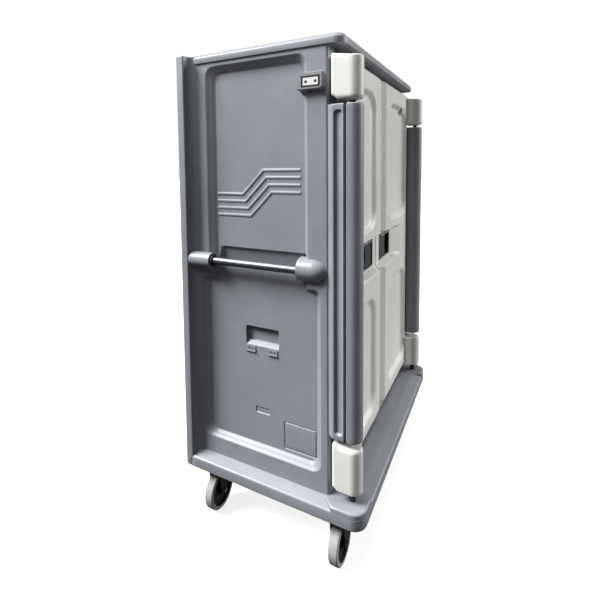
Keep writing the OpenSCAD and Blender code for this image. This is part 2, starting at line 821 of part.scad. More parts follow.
// Gasket loop on the inner face.
gasket_w = 8;
module gasket() color(black) rotate([90, 0, 90]) translate([0, 0, frame_x + gap])
    linear_extrude(gasket_t) difference() {
        lo = [door_y0 + 1, door_z0 + 3];
        hi = [-tongue_y + strike_w + gasket_w, roof_z - header_h + gasket_w + 3];
        round_rect(lo, hi, 14);
        round_rect(lo + [gasket_w, gasket_w], hi - [gasket_w, gasket_w], 14 - gasket_w);
    }

module door_gasket_near() gasket();
module door_gasket_far() far() gasket();

module bush(z) difference() {
    union() {
        post(pin_x, pin_y, z, z + bush_len, pin_r + bush_wall + run_clear);
        post(pin_x, pin_y, z - bush_flange_t, z, pin_r + bush_wall + 4);
    }
    post(pin_x, pin_y, z - bush_flange_t - over, z + bush_len + over, pin_r + run_clear);
}

module hinge_bushes() color("#e8e6df") {
    bush(upper_ear_z);
    bush(lower_ear_z);
}

module hinge_bushes_near() hinge_bushes();
module hinge_bushes_far() far() hinge_bushes();

module magnet_keeper() color(steel) difference() {
    translate([door_x - keeper[2], keeper_y - keeper[0] / 2 + gap, magnet_z - keeper[1] / 2 + gap])
        cube([keeper[2], keeper[0] - 2 * gap, keeper[1] - 2 * gap]);
    for (s = [-1, 1])
        bar_x(door_x - keeper[2] / 2, door_x + over, keeper_y + s * keeper[0] * 0.36, magnet_z, 3);
}

module magnet_keeper_near() magnet_keeper();
module magnet_keeper_far() far() magnet_keeper();

// Latch pan: a rimmed cup, shallow over the tongue and deep for the fingers.
pan_rim = 6;
pan_wall = 2.5;
pan_back_x = pocket_x - 17;
paddle_y = pan_y + 12;
paddle_len = 84;
paddle_t = 5;
paddle_axis_x = pocket_x - 3;
module latch_pan() color(black) difference() {
    y1 = -pan_y;
    y0 = y1 - pan_w;
    z0 = latch_z - pan_h / 2;
    z1 = latch_z + pan_h / 2;
    union() {
        rotate([90, 0, 90]) translate([0, 0, pocket_x]) linear_extrude(pan_flange)
            round_rect([y0, z0], [y1, z1], 5);
        block([pan_back_x, y0 + pan_rim, z0 + pan_rim], [pocket_x, y1 - pan_rim, z1 - pan_rim]);
    }
    block([pocket_x - 9, y0 + pan_rim + pan_wall, z0 + pan_rim + pan_wall],
          [pocket_x + pan_flange + over, y1 - pan_rim - pan_wall, z1 - pan_rim - pan_wall]);
    block([pan_back_x + pan_wall, y0 + pan_rim + pan_wall, z0 + pan_rim + pan_wall],
          [pocket_x, -paddle_y - paddle_len * 2 / 3, z1 - pan_rim - pan_wall]);
    bar_x(pan_back_x - over, pocket_x, -tongue_y, latch_z, tongue_r + tongue_guide_clear);
    post(paddle_axis_x, -paddle_y, z0 + pan_rim - over, z1 - pan_rim + over, trunnion_r + run_clear);
}

module latch_pan_near() latch_pan();
module latch_pan_far() far() latch_pan();

trunnion_r = 2.5;
module latch_paddle() color("#3a3c40") {
    half = pan_h / 2 - pan_rim - pan_wall - 1;
    difference() {
        block([paddle_axis_x - paddle_t / 2, -paddle_y - paddle_len, latch_z - half],
              [paddle_axis_x + paddle_t / 2, -paddle_y, latch_z + half]);
        // Finger scallop in the free edge.
        bar_x(paddle_axis_x - paddle_t, paddle_axis_x + 2 * paddle_t, -paddle_y - paddle_len - half,
              latch_z, half + 8);
    }
    post(paddle_axis_x, -paddle_y, latch_z - half - pan_wall, latch_z + half + pan_wall, trunnion_r);
}

module latch_paddle_near() latch_paddle();
module latch_paddle_far() far() latch_paddle();

// Sprung tongue: a rod with a round nose and a collar that the spring bears on.
tongue_guide_clear = 0.3;
tongue_collar_x = door_back_x + 3;
spring_r = 8;
tongue_head_x = paddle_axis_x - paddle_t / 2 - tongue_travel - 2 * gap;
module latch_tongue() color(steel) {
    nose_x = strike_face_x - nose_in + nose_len;
    bar_x(nose_x, tongue_head_x, -tongue_y, latch_z, tongue_r);
    bar_x(tongue_collar_x, tongue_collar_x + 2, -tongue_y, latch_z, spring_r);
    translate([nose_x, -tongue_y, latch_z]) rotate([0, -90, 0])
        cylinder(h = nose_len, r1 = tongue_r, r2 = tongue_r / 2);
}

module latch_tongue_near() latch_tongue();
module latch_tongue_far() far() latch_tongue();

// Compression spring between the collar and the pan, as its outer shape.
module latch_spring() color(steel) difference() {
    bar_x(tongue_collar_x + 2 + gap, pan_back_x - gap, -tongue_y, latch_z, spring_r);
    bar_x(tongue_collar_x, pan_back_x + over, -tongue_y, latch_z, tongue_r + 0.5);
}

module latch_spring_near() latch_spring();
module latch_spring_far() far() latch_spring();

// ---- Casters ----

wheel_r = wheel_d / 2;
plate = [104, 84, 4];
fixed_y = -y_end + wheel_inset;
swivel_y = y_end - swivel_inset;
fork_gap = wheel_w / 2 + 4;
leg_w = 34;
hub_len = wheel_w + 6;

// A wheel core with a web and a hub, bored for its axle.
module wheel_core() color(black) rotate([0, 90, 0]) {
    rim_r = wheel_r - tyre_t;
    difference() {
        union() {
            difference() {
                cylinder(h = wheel_w, r = rim_r, center = true);
                for (s = [-1, 1]) translate([0, 0, s * wheel_w / 2]) rotate_extrude()
                    translate([(rim_r + 16) / 2, 0]) square([rim_r - 16 - 8, wheel_w * 0.6], center = true);
            }
            cylinder(h = hub_len, r = 15, center = true);
        }
        cylinder(h = wheel_w + 4 * over + 6, r = axle_r + run_clear, center = true);
    }
}

// A tyre with rounded shoulders.
module tyre() color("#b7b8b6") rotate([0, 90, 0]) rotate_extrude() difference() {
    rim_r = wheel_r - tyre_t;
    round_rect([rim_r - 6, -wheel_w / 2], [wheel_r, wheel_w / 2], 5);
    translate([0, -wheel_w]) square([rim_r, 2 * wheel_w]);
}

module axle() color(steel) rotate([0, 90, 0]) {
    cylinder(h = 2 * (fork_gap + fork_t), r = axle_r, center = true);
    for (s = [-1, 1]) translate([0, 0, s * (fork_gap + fork_t + 3)])
        cylinder(h = 6, r = 9, center = true, $fn = 6);
}

// Two legs that taper from the crown to the axle, drawn with the axle at the origin.
module fork_legs(crown_y, crown_w, top) {
    for (s = [-1, 1]) difference() {
        translate([s * (fork_gap + fork_t / 2), 0, 0]) rotate([90, 0, 90])
            linear_extrude(fork_t, center = true) {
                circle(r = leg_w / 2);
                polygon([
                    [-leg_w / 2, 0], [leg_w / 2, 0],
                    [crown_y + crown_w / 2, top], [crown_y - crown_w / 2, top]
                ]);
            }
        rotate([0, 90, 0]) cylinder(h = cart_w, r = axle_r + run_clear, center = true);
    }
}

module fixed_fork(x) color(black) translate([x, fixed_y, wheel_r]) {
    top = base_z - wheel_r;
    fork_legs(0, plate[1] * 0.8, top - plate[2] / 2);
    difference() {
        translate([-plate[1] / 2, -plate[0] / 2, top - plate[2]]) cube([plate[1], plate[0], plate[2]]);
        plate_holes(top);
    }
}

module plate_holes(top) {
    for (sx = [-1, 1], sy = [-1, 1])
        translate([sx * (plate[1] / 2 - 12), sy * (plate[0] / 2 - 12), top - plate[2] - over])
            cylinder(h = plate[2] + 2 * over, r = 4.5);
}

module fixed_fork_back() fixed_fork(-wheel_track / 2);
module fixed_fork_door() fixed_fork(wheel_track / 2);
module fixed_axles() for (s = [-1, 1]) translate([s * wheel_track / 2, fixed_y, wheel_r]) axle();

module wheel_near_back() translate([-wheel_track / 2, fixed_y, wheel_r]) wheel_core();
module wheel_near_door() translate([wheel_track / 2, fixed_y, wheel_r]) wheel_core();
module tyre_near_back() translate([-wheel_track / 2, fixed_y, wheel_r]) tyre();
module tyre_near_door() translate([wheel_track / 2, fixed_y, wheel_r]) tyre();

// Swivel casters trail towards the far end.
race_r = 28;
race_h = 8;
kingpin_r = 6;
module swivel_plates() color(steel) for (s = [-1, 1])
translate([s * wheel_track / 2, swivel_y, 0]) difference() {
    union() {
        translate([-plate[1] / 2, -plate[0] / 2, base_z - plate[2]]) cube([plate[1], plate[0], plate[2]]);
        translate([0, 0, base_z - plate[2] - race_h]) cylinder(h = race_h, r = race_r);
    }
    plate_holes(base_z);
    translate([0, 0, base_z - plate[2] - race_h - over])
        cylinder(h = race_h + plate[2], r = kingpin_r + run_clear);
}

fork_top = base_z - plate[2] - race_h - gap;
module swivel_pins() color(steel) for (s = [-1, 1]) translate([s * wheel_track / 2, swivel_y, 0]) {
    translate([0, 0, fork_top - fork_t - 6 - gap]) cylinder(h = 6, r = 11, $fn = 6);
    translate([0, 0, fork_top - fork_t - gap])
        cylinder(h = base_z - over - fork_top + fork_t + gap, r = kingpin_r);
}

module swivel_fork(x) color(black) difference() {
    union() {
        // Pivot pin for the brake pedal, through both legs.
        bar_x(x - pedal_arm_x - fork_t, x + pedal_arm_x + fork_t,
              pedal_pivot_y, pedal_pivot_z, pedal_pin_r);
        translate([x, swivel_y + trail, wheel_r])
            fork_legs(-trail, 2 * race_r, fork_top - wheel_r - fork_t / 2);
        translate([x, swivel_y, fork_top - fork_t]) cylinder(h = fork_t, r = race_r + 4);
        block([x - fork_gap - fork_t, swivel_y - race_r, fork_top - fork_t],
              [x + fork_gap + fork_t, swivel_y + race_r, fork_top]);
    }
    post(x, swivel_y, fork_top - fork_t - over, fork_top + over, kingpin_r + run_clear);
}

module swivel_fork_back() swivel_fork(-wheel_track / 2);
module swivel_fork_door() swivel_fork(wheel_track / 2);

module at_swivel_wheel(x) {
    translate([x, swivel_y + trail, wheel_r]) children();
}

module swivel_axle_back() at_swivel_wheel(-wheel_track / 2) axle();
module swivel_axle_door() at_swivel_wheel(wheel_track / 2) axle();
module wheel_far_back() at_swivel_wheel(-wheel_track / 2) wheel_core();
module wheel_far_door() at_swivel_wheel(wheel_track / 2) wheel_core();
module tyre_far_back() at_swivel_wheel(-wheel_track / 2) tyre();
module tyre_far_door() at_swivel_wheel(wheel_track / 2) tyre();

// Brake pedal: a ribbed tread over the wheel, on two arms that pivot outside the fork's legs.
pedal_pivot_y = swivel_y + trail / 2;
pedal_boss_r = 8;
pedal_pivot_z = fork_top - fork_t - pedal_boss_r - 1;
pedal_pin_r = 3;
pedal_arm_x = fork_gap + fork_t + gap;
tread = [54, 88];
module brake_pedal(x) color(black) {
    for (s = [-1, 1]) difference() {
        translate([x + s * (pedal_arm_x + fork_t / 2), pedal_pivot_y, pedal_pivot_z]) rotate([90, 0, 90])
            linear_extrude(fork_t, center = true) {
                circle(r = pedal_boss_r);
                polygon([
                    [0, -pedal_boss_r], [30, 1 - pedal_boss_r], [tread[1], -5], [tread[1], 3],
                    [tread[0], 3], [0, pedal_boss_r]
                ]);
            }
        bar_x(x - cart_w / 4, x + cart_w / 4, pedal_pivot_y, pedal_pivot_z, pedal_pin_r + run_clear);
    }
    block([x - pedal_arm_x - fork_t, pedal_pivot_y + tread[0], pedal_pivot_z - 5],
          [x + pedal_arm_x + fork_t, pedal_pivot_y + tread[1], pedal_pivot_z + 3]);
    for (i = [0:3]) bar_x(x - pedal_arm_x, x + pedal_arm_x,
                          pedal_pivot_y + tread[0] + 6 + 7 * i, pedal_pivot_z + 3, 1.5);
}

module brake_pedal_back() brake_pedal(-wheel_track / 2);
module brake_pedal_door() brake_pedal(wheel_track / 2);

// Bolts through the caster plates into the bumper.
module caster_bolts() color(steel) for (sx = [-1, 1], y = [fixed_y, swivel_y], bx = [-1, 1], by = [-1, 1])
    translate([sx * wheel_track / 2 + bx * (plate[1] / 2 - 12),
               y + by * (plate[0] / 2 - 12), base_z - plate[2]]) {
        cylinder(h = plate[2], r = 4);
        translate([0, 0, -5]) cylinder(h = 5, r = 7, $fn = 6);
    }

base_bumper();
end_wall_near();
end_wall_far();
back_panel();
roof();
cabinet_floor();
front_frame();
centre_partition();
tray_rails_near_outer();
tray_rails_near_inner();
tray_rails_far_inner();
tray_rails_far_outer();
handle_bar_near();
handle_bar_far();
handle_collars();
menu_clips();
magnet_holders();
magnet_plates();
upper_hinge_pins();
lower_hinge_pins();
latch_strikes();
door_near();
door_gasket_near();
hinge_bushes_near();
magnet_keeper_near();
latch_pan_near();
latch_paddle_near();
latch_tongue_near();
latch_spring_near();
door_far();
door_gasket_far();
hinge_bushes_far();
magnet_keeper_far();
latch_pan_far();
latch_paddle_far();
latch_tongue_far();
latch_spring_far();
fixed_fork_back();
fixed_fork_door();
fixed_axles();
wheel_near_back();
tyre_near_back();
wheel_near_door();
tyre_near_door();
swivel_plates();
swivel_pins();
swivel_fork_back();
swivel_fork_door();
swivel_axle_back();
swivel_axle_door();
wheel_far_back();
tyre_far_back();
wheel_far_door();
tyre_far_door();
brake_pedal_back();
brake_pedal_door();
caster_bolts();
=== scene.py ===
"""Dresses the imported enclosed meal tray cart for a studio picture."""
import json
import logging
import math
from dataclasses import dataclass
from enum import Enum
from typing import Callable, Sequence

import bmesh
import bpy
import numpy as np
from mathutils import Matrix, Vector

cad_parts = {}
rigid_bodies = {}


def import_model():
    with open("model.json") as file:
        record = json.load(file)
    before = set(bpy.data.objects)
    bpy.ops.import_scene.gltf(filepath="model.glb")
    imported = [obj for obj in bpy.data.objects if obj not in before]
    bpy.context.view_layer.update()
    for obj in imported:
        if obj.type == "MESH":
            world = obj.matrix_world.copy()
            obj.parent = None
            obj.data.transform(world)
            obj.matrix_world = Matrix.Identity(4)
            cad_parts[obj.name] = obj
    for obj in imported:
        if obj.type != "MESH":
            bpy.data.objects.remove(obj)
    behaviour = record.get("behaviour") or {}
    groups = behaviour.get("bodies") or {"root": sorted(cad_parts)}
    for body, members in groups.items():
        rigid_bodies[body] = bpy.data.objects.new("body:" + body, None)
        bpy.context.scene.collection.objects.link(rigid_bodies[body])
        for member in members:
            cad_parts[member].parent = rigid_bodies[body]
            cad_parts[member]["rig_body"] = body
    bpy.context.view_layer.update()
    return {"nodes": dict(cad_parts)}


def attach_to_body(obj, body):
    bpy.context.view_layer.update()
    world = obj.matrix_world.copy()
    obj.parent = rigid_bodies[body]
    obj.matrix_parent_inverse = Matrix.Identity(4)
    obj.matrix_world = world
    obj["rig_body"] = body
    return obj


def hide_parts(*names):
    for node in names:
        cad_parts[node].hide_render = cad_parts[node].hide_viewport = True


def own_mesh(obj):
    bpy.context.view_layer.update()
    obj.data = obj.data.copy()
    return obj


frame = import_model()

log = logging.getLogger("tray_cart")
MM = 0.001
Array = np.ndarray
Field = Callable[[Array, Array], Array]


class End(Enum):
    """The two ends of the cart, as the sign of Y on that side."""

    NEAR = -1
    FAR = 1

    @property
    def word(self) -> str:
        """The end's name as the frame's nodes spell it."""
        return self.name.lower()


# ---------------------------------------------------------------- materials


def linear(hex_colour: str) -> tuple[float, float, float, float]:
    """Turns an sRGB hex colour into linear light.

    Args:
        hex_colour: Six hex digits with a leading #.

    Returns:
        Red, green, blue and alpha for a shader socket.
    """
    parts = (int(hex_colour[i:i + 2], 16) / 255 for i in (1, 3, 5))
    red, green, blue = (p / 12.92 if p <= 0.04045 else ((p + 0.055) / 1.055) ** 2.4 for p in parts)
    return red, green, blue, 1.0


def add_node(tree: bpy.types.NodeTree, kind: str, inputs: dict | None = None, **settings) -> bpy.types.Node:
    """Adds one node, with its settings, values and links.

    Args:
        tree: The tree that gets the node.
        kind: The node's Blender type name.
        inputs: Socket name or number to a value, or to an output socket to link from.
        **settings: Attributes to set on the node itself.

    Returns:
        The new node.
    """
    node = tree.nodes.new(kind)
    for key, value in settings.items():
        setattr(node, key, value)
    for key, value in (inputs or {}).items():
        if isinstance(value, bpy.types.NodeSocket):
            tree.links.new(value, node.inputs[key])
        else:
            node.inputs[key].default_value = value
    return node


@dataclass(frozen=True)
class Finish:
    """A procedural surface with two tones, mottling and fine grain.

    Attributes:
        name: The material's name, after what the real surface is.
        tone: The surface's main colour.
        worn: The colour of its lighter or dustier patches.
        roughness: The gloss of clean areas.
        haze: How much roughness the worn patches add.
        grain_mm: The size of the surface's fine texture.
        grain_depth_mm: How deep that texture looks.
        patch_mm: The size of the patches of tone.
        metallic: One for bare metal and zero for the rest.
        stretch: Scales of the grain along X, Y and Z, for brushed and drawn metal.
        glow: Strength of the surface's own white light.
    """

    name: str
    tone: str
    worn: str
    roughness: float = 0.45
    haze: float = 0.1
    grain_mm: float = 1.6
    grain_depth_mm: float = 0.04
    patch_mm: float = 160.0
    metallic: float = 0.0
    stretch: tuple[float, float, float] = (1.0, 1.0, 1.0)
    glow: float = 0.0

    def material(self) -> bpy.types.Material:
        """Makes the material, or returns the one that was made before.

        Returns:
            The material for this finish.
        """
        found = bpy.data.materials.get(self.name)
        if found is not None:
            return found
        material = bpy.data.materials.new(self.name)
        material.use_nodes = True
        tree = material.node_tree
        tree.nodes.clear()
        place = add_node(tree, "ShaderNodeTexCoord").outputs["Object"]
        drawn = add_node(tree, "ShaderNodeMapping", {
            "Vector": place, "Scale": self.stretch,
        }).outputs["Vector"]
        patches = add_node(tree, "ShaderNodeTexNoise", {
            "Vector": place, "Scale": 1 / (self.patch_mm * MM), "Detail": 4.0, "Roughness": 0.6,
        }).outputs["Fac"]
        spread = add_node(tree, "ShaderNodeMapRange", {
            0: patches, 1: 0.35, 2: 0.75, 3: 0.0, 4: 1.0,
        }).outputs[0]
        colour = add_node(tree, "ShaderNodeMix", {
            0: spread, 6: linear(self.tone), 7: linear(self.worn),
        }, data_type="RGBA").outputs[2]
        gloss = add_node(tree, "ShaderNodeMapRange", {
            0: patches, 1: 0.3, 2: 0.8, 3: self.roughness, 4: self.roughness + self.haze,
        }).outputs[0]
        grain = add_node(tree, "ShaderNodeTexNoise", {
            "Vector": drawn, "Scale": 1 / (self.grain_mm * MM), "Detail": 2.0, "Roughness": 0.5,
        }).outputs["Fac"]
        bump = add_node(tree, "ShaderNodeBump", {
            "Height": grain, "Strength": 1.0, "Distance": self.grain_depth_mm * MM,
        }).outputs["Normal"]
        shader = add_node(tree, "ShaderNodeBsdfPrincipled", {
            "Base Color": colour, "Roughness": gloss, "Normal": bump, "Metallic": self.metallic,
            "Emission Color": linear("#ffffff"), "Emission Strength": self.glow,
        }).outputs["BSDF"]
        add_node(tree, "ShaderNodeOutputMaterial", {"Surface": shader})
        return material


class Finishes:
    """The cart's finishes, each named for the real material and how it was shaped."""

    # Rotomoulded polyethylene: satin, with a faint pebble from the mould's blasted wall.
    SHELL = Finish("rotomoulded_polyethylene_slate", "#787b81", "#808389", 0.40, 0.08, 1.8, 0.05)
    DOOR = Finish("rotomoulded_polyethylene_cream", "#cac9c5", "#d1d0cc", 0.38, 0.08, 1.8, 0.05)
    # Lighter liner of the same plastic, wiped often, so a little glossier.
    LINER = Finish("polyethylene_liner_grey", "#9a9da3", "#a4a7ac", 0.38, 0.06, 1.8, 0.04)
    # Glass-filled nylon: black, slightly sandy, with greyer rubbed patches.
    NYLON = Finish("moulded_nylon_black", "#161718", "#222325", 0.38, 0.12, 0.9, 0.03, 40.0)
    PADDLE = Finish("moulded_nylon_graphite", "#2e3033", "#3a3c40", 0.34, 0.10, 0.9, 0.02, 30.0)
    # Drawn and satin-polished stainless tube: fine rings of grain, long soft highlight.
    TUBE = Finish("satin_steel_tube_dark", "#64666a", "#6e7074", 0.44, 0.08, 0.8, 0.006, 60.0,
                  1.0, (12.0, 1.0, 1.0))
    # Brushed stainless sheet with its grain along the depth of the cart.
    SHEET = Finish("brushed_stainless_sheet", "#b4b6b8", "#c2c4c6", 0.3, 0.08, 1.2, 0.008, 90.0,
                   1.0, (0.04, 1.0, 1.0))
    # Zinc-plated steel: pale, faintly cloudy from passivation.
    ZINC = Finish("zinc_plated_steel", "#a9abad", "#c4c3bb", 0.32, 0.16, 2.0, 0.01, 18.0, 1.0)
    # Black powder coat: semi-gloss with an orange-peel skin.
    POWDER = Finish("powder_coat_black", "#121314", "#1c1d1f", 0.3, 0.12, 1.1, 0.03, 50.0)
    # Non-marking rubber tread: light grey, matt, a little dusty.
    TREAD = Finish("non_marking_rubber_grey", "#989794", "#8a8986", 0.62, 0.14, 1.4, 0.05, 26.0)
    # Soft sealing rubber and collars.
    SEAL = Finish("sealing_rubber_black", "#141414", "#1f1f1f", 0.6, 0.12, 1.0, 0.03, 30.0)
    # Face plate of the magnet, which is zinc-plated steel: a white, glossy, non-metal colour stands in for
    # the bright reflection on the zinc, a painted reflection.
    ENAMEL = Finish("stove_enamel_white", "#d2d2d0", "#c8c8c4", 0.24, 0.08, 1.5, 0.01, 12.0)
    # Acetal bearing plastic.
    BUSH = Finish("acetal_bearing_white", "#d2d0c8", "#c6c4bb", 0.35, 0.1, 1.0, 0.01, 20.0)


# ---------------------------------------------------------------- surfaces


def ramp(t: Array, run: float = 1.0) -> Array:
    """Straight rise from 0 to 1 over a run, level outside it."""
    return np.clip(t / run, 0.0, 1.0)


def ease(t: Array, run: float = 1.0) -> Array:
    """Cubic rise from 0 to 1 over a run: 3s squared minus 2s cubed, where s is the straight rise."""
    s = ramp(t, run)
    return s * s * (3.0 - 2.0 * s)


def box_distance(u: Array, v: Array, lo: Sequence[float], hi: Sequence[float],
                 radius: float | Array) -> Array:
    """Signed distance to a rectangle with round corners, negative inside.

    The distance outside is the length of the part of |p - centre| past the half size less the
    radius, and inside it is the larger of the two differences; the radius comes off at the end.

    Args:
        u: First coordinate of every point.
        v: Second coordinate of every point.
        lo: Lowest corner.
        hi: Highest corner.
        radius: Corner radius.

    Returns:
        The distance of every point.
    """
    du = np.abs(u - (lo[0] + hi[0]) / 2) - (hi[0] - lo[0]) / 2 + radius
    dv = np.abs(v - (lo[1] + hi[1]) / 2) - (hi[1] - lo[1]) / 2 + radius
    outside = np.hypot(np.maximum(du, 0.0), np.maximum(dv, 0.0))
    return outside + np.minimum(np.maximum(du, dv), 0.0) - radius


def blended_min(a: Array, b: Array, radius: float) -> Array:
    """The smaller of two fields, rounded over by radius where they cross: a polynomial smooth minimum."""
    share = np.clip(0.5 + 0.5 * (b - a) / radius, 0.0, 1.0)
    return b + (a - b) * share - radius * share * (1.0 - share)


def share_between(rim: Array, floor: Array) -> Array:
    """Share of the way from a rim to a floor's edge, d0 / (d0 + d1), from the signed distances to both."""
    inside = np.maximum(-rim, 0.0)
    return inside / np.maximum(inside + np.maximum(floor, 0.0), 1e-6)


def arc(centre: Sequence[float], radius: float, start: float, stop: float, count: int) -> Array:
    """Evenly spaced points of a circle: centre + radius (cos a, sin a).

    Args:
        centre: The circle's middle.
        radius: Its radius.
        start: The first point's angle in degrees.
        stop: The last point's angle.
        count: How many points there are.

    Returns:
        The points, shape (count, 2).
    """
    turn = np.radians(np.linspace(start, stop, count))
    return np.array(centre, float) + radius * np.stack([np.cos(turn), np.sin(turn)], axis=1)


def lines(lo: float, hi: float, coarse: float, windows: Sequence[tuple[float, float, float]]) -> Array:
    """Grid lines from lo to hi, at a coarse step, with finer steps inside windows.

    Args:
        lo: First line.
        hi: Last line.
        coarse: Step where nothing happens.
        windows: Start, end and step of each finer stretch.

    Returns:
        The sorted lines, none closer than a third of a millimetre to the next.
    """
    runs = []
    for start, end, step in [(lo, hi, coarse), *windows]:
        start, end = max(lo, start), min(hi, end)
        runs.append(np.linspace(start, end, max(2, round((end - start) / step) + 1)))
    found = np.unique(np.concatenate(runs))
    found = found[np.concatenate([[True], np.diff(found) > 0.34])]
    found[-1] = hi
    return found


class Side(Enum):
    """The side that a sheet faces, which says how its (u, v, out) turns into the cart's (x, y, z)."""

    NEAR_END = 0
    FAR_END = 1
    DOORS = 2

    def place(self, u: Array, v: Array, out: Array) -> Array:
        """Stacks the three coordinates in the order that this side needs.

        Args:
            u: Coordinate across the sheet.
            v: Coordinate up the sheet.
            out: Distance out of the cart along the sheet's normal.

        Returns:
            Points of shape (..., 3), in millimetres.
        """
        order = {Side.NEAR_END: (u, -out, v), Side.FAR_END: (u, out, v), Side.DOORS: (out, u, v)}[self]
        return np.stack(order, axis=-1)


class Axis(Enum):
    """The axis that a profile is turned about."""

    X = 0
    Y = 1


def make_object(name: str, points: Array, faces: list, finish: Finish,
                flat_degrees: float = 40.0) -> bpy.types.Object:
    """Puts points and faces into a mesh object with a finish.

    Args:
        name: The piece's name.
        points: Points in millimetres, shape (n, 3).
        faces: Vertex numbers of every face.
        finish: The finish that the piece gets.
        flat_degrees: Edges sharper than this stay crisp in the shading.

    Returns:
        The linked object, at the origin.
    """
    mesh = bpy.data.meshes.new(name)
    mesh.from_pydata((np.asarray(points, float) * MM).tolist(), [], faces)
    body = bmesh.new()
    body.from_mesh(mesh)
    bmesh.ops.remove_doubles(body, verts=body.verts, dist=2e-6)
    bmesh.ops.dissolve_degenerate(body, edges=body.edges, dist=1e-6)
    bmesh.ops.recalc_face_normals(body, faces=body.faces)
    body.to_mesh(mesh)
    body.free()
    return finish_mesh(name, mesh, finish, flat_degrees)


def finish_mesh(name: str, mesh: bpy.types.Mesh, finish: Finish, flat_degrees: float) -> bpy.types.Object:
    """Shades a mesh smooth with crisp edges, links it as an object and dresses it.

    Args:
        name: The piece's name.
        mesh: Its mesh, in metres.
        finish: The finish that the piece gets.
        flat_degrees: Edges sharper than this stay crisp in the shading.

    Returns:
        The linked object.
    """
    mesh.shade_smooth()
    mesh.set_sharp_from_angle(angle=math.radians(flat_degrees))
    mesh.materials.clear()
    mesh.materials.append(finish.material())
    piece = bpy.data.objects.new(name, mesh)
    bpy.context.scene.collection.objects.link(piece)
    return piece


def slab(name: str, side: Side, u: Array, v: Array, front: Field, back: Field,
         finish: Finish) -> bpy.types.Object:
    """A closed slab whose front and back are height fields over one grid.

    Every grid point (u, v) gives a front point at front(u, v) and a back point at back(u, v) along
    the sheet's normal; a strip of quads joins the two round the border.

    Args:
        name: The piece's name.
        side: The side of the cart that the slab faces.
        u: Grid lines across.
        v: Grid lines up.
        front: Field of the outer surface, in millimetres from the cart's middle.
        back: Field of the inner surface.
        finish: The finish that the piece gets.

    Returns:
        The slab's object.
    """
    uu, vv = np.meshgrid(u, v, indexing="ij")
    rows, cols = uu.shape
    points = np.concatenate([side.place(uu, vv, field(uu, vv)).reshape(-1, 3) for field in (front, back)])
    index = np.arange(rows * cols).reshape(rows, cols)
    face = np.stack([index[:-1, :-1], index[1:, :-1], index[1:, 1:], index[:-1, 1:]], axis=-1).reshape(-1, 4)
    rear = face[:, ::-1] + rows * cols
    rim = np.concatenate([index[:-1, 0], index[-1, :-1], index[:0:-1, -1], index[0, :0:-1]])
    ahead = np.roll(rim, -1)
    wall = np.stack([ahead, rim, rim + rows * cols, ahead + rows * cols], axis=-1)
    return make_object(name, points, np.concatenate([face, rear, wall]).tolist(), finish)


def skin_rings(name: str, rings: Array, finish: Finish, capped: bool = True,
               flat_degrees: float = 40.0) -> bpy.types.Object:
    """Joins each ring of points to the next with quads, and closes the first and the last.

    Args:
        name: The piece's name.
        rings: Points of shape (rings, points in a ring, 3), in millimetres.
        finish: The finish that the piece gets.
        capped: Whether the end rings get faces of their own.
        flat_degrees: Edges sharper than this stay crisp in the shading.

    Returns:
        The piece's object.
    """
    index = np.arange(rings.shape[0] * rings.shape[1]).reshape(rings.shape[:2])
    here, there = index[:-1], index[1:]
    quads = np.stack([here, np.roll(here, -1, 1), np.roll(there, -1, 1), there], axis=-1)
    caps = [index[0, ::-1].tolist(), index[-1].tolist()] if capped else []
    return make_object(name, rings.reshape(-1, 3), quads.reshape(-1, 4).tolist() + caps, finish, flat_degrees)


def swept_plan(name: str, plan: Array, heights: Array, insets: Array, finish: Finish, end: End = End.NEAR,
               shape: Callable[[Array], Array] | None = None) -> bpy.types.Object:
    """A closed plan carried upwards, drawn in by an inset at each height, with both ends capped.

    Ring k is the plan moved along its own inward normals by insets[k], at heights[k]. A shape, if
    there is one, then moves every point at once.

    Args:
        name: The piece's name.
        plan: Outline points (x, y) of the near end's piece, in order.
        heights: Height of each ring.
        insets: How far each ring is drawn in.
        finish: The finish that the piece gets.
        end: The end that the piece is for; the far end's is mirrored.
        shape: Function from the near end's points, shape (n, m, 3), to the moved points.

    Returns:
        The piece's object.
    """
    ahead = np.roll(plan, -1, axis=0)
    tangent = ahead - np.roll(plan, 1, axis=0)
    tangent /= np.maximum(np.linalg.norm(tangent, axis=1, keepdims=True), 1e-9)
    turn = np.sum(plan[:, 0] * ahead[:, 1] - ahead[:, 0] * plan[:, 1])
    inward = np.stack([-tangent[:, 1], tangent[:, 0]], axis=1) * np.sign(turn)
    rings = plan[None] + insets[:, None, None] * inward[None]
    levels = np.broadcast_to(heights[:, None, None], rings.shape[:2] + (1,))
    points = np.concatenate([rings, levels], axis=-1)
    if shape is not None:
        points = shape(points)
    return skin_rings(name, points * np.array([1.0, -float(end.value), 1.0]), finish)


def soft_ends(low: float, high: float, foot: tuple[float, float], head: tuple[float, float], steps: int = 6,
              middle: int = 2) -> tuple[Array, Array]:
    """Heights and insets of a sweep whose ends are quarter ellipses.

    Args:
        low: Lowest height.
        high: Highest height.
        foot: Rise and inset of the lower end's rounding.
        head: Rise and inset of the upper end's rounding.
        steps: Rings in each quarter round.
        middle: Rings between them.

    Returns:
        The heights and the insets, bottom first.
    """
    angle = np.linspace(0, math.pi / 2, steps)
    rise, inset = 1 - np.cos(angle), 1 - np.sin(angle)
    body = np.linspace(low + foot[0], high - head[0], middle + 2)[1:-1]
    heights = np.concatenate([low + foot[0] * rise, body, high - head[0] * rise[::-1]])
    return heights, np.concatenate([foot[1] * inset, np.zeros(middle), head[1] * inset[::-1]])


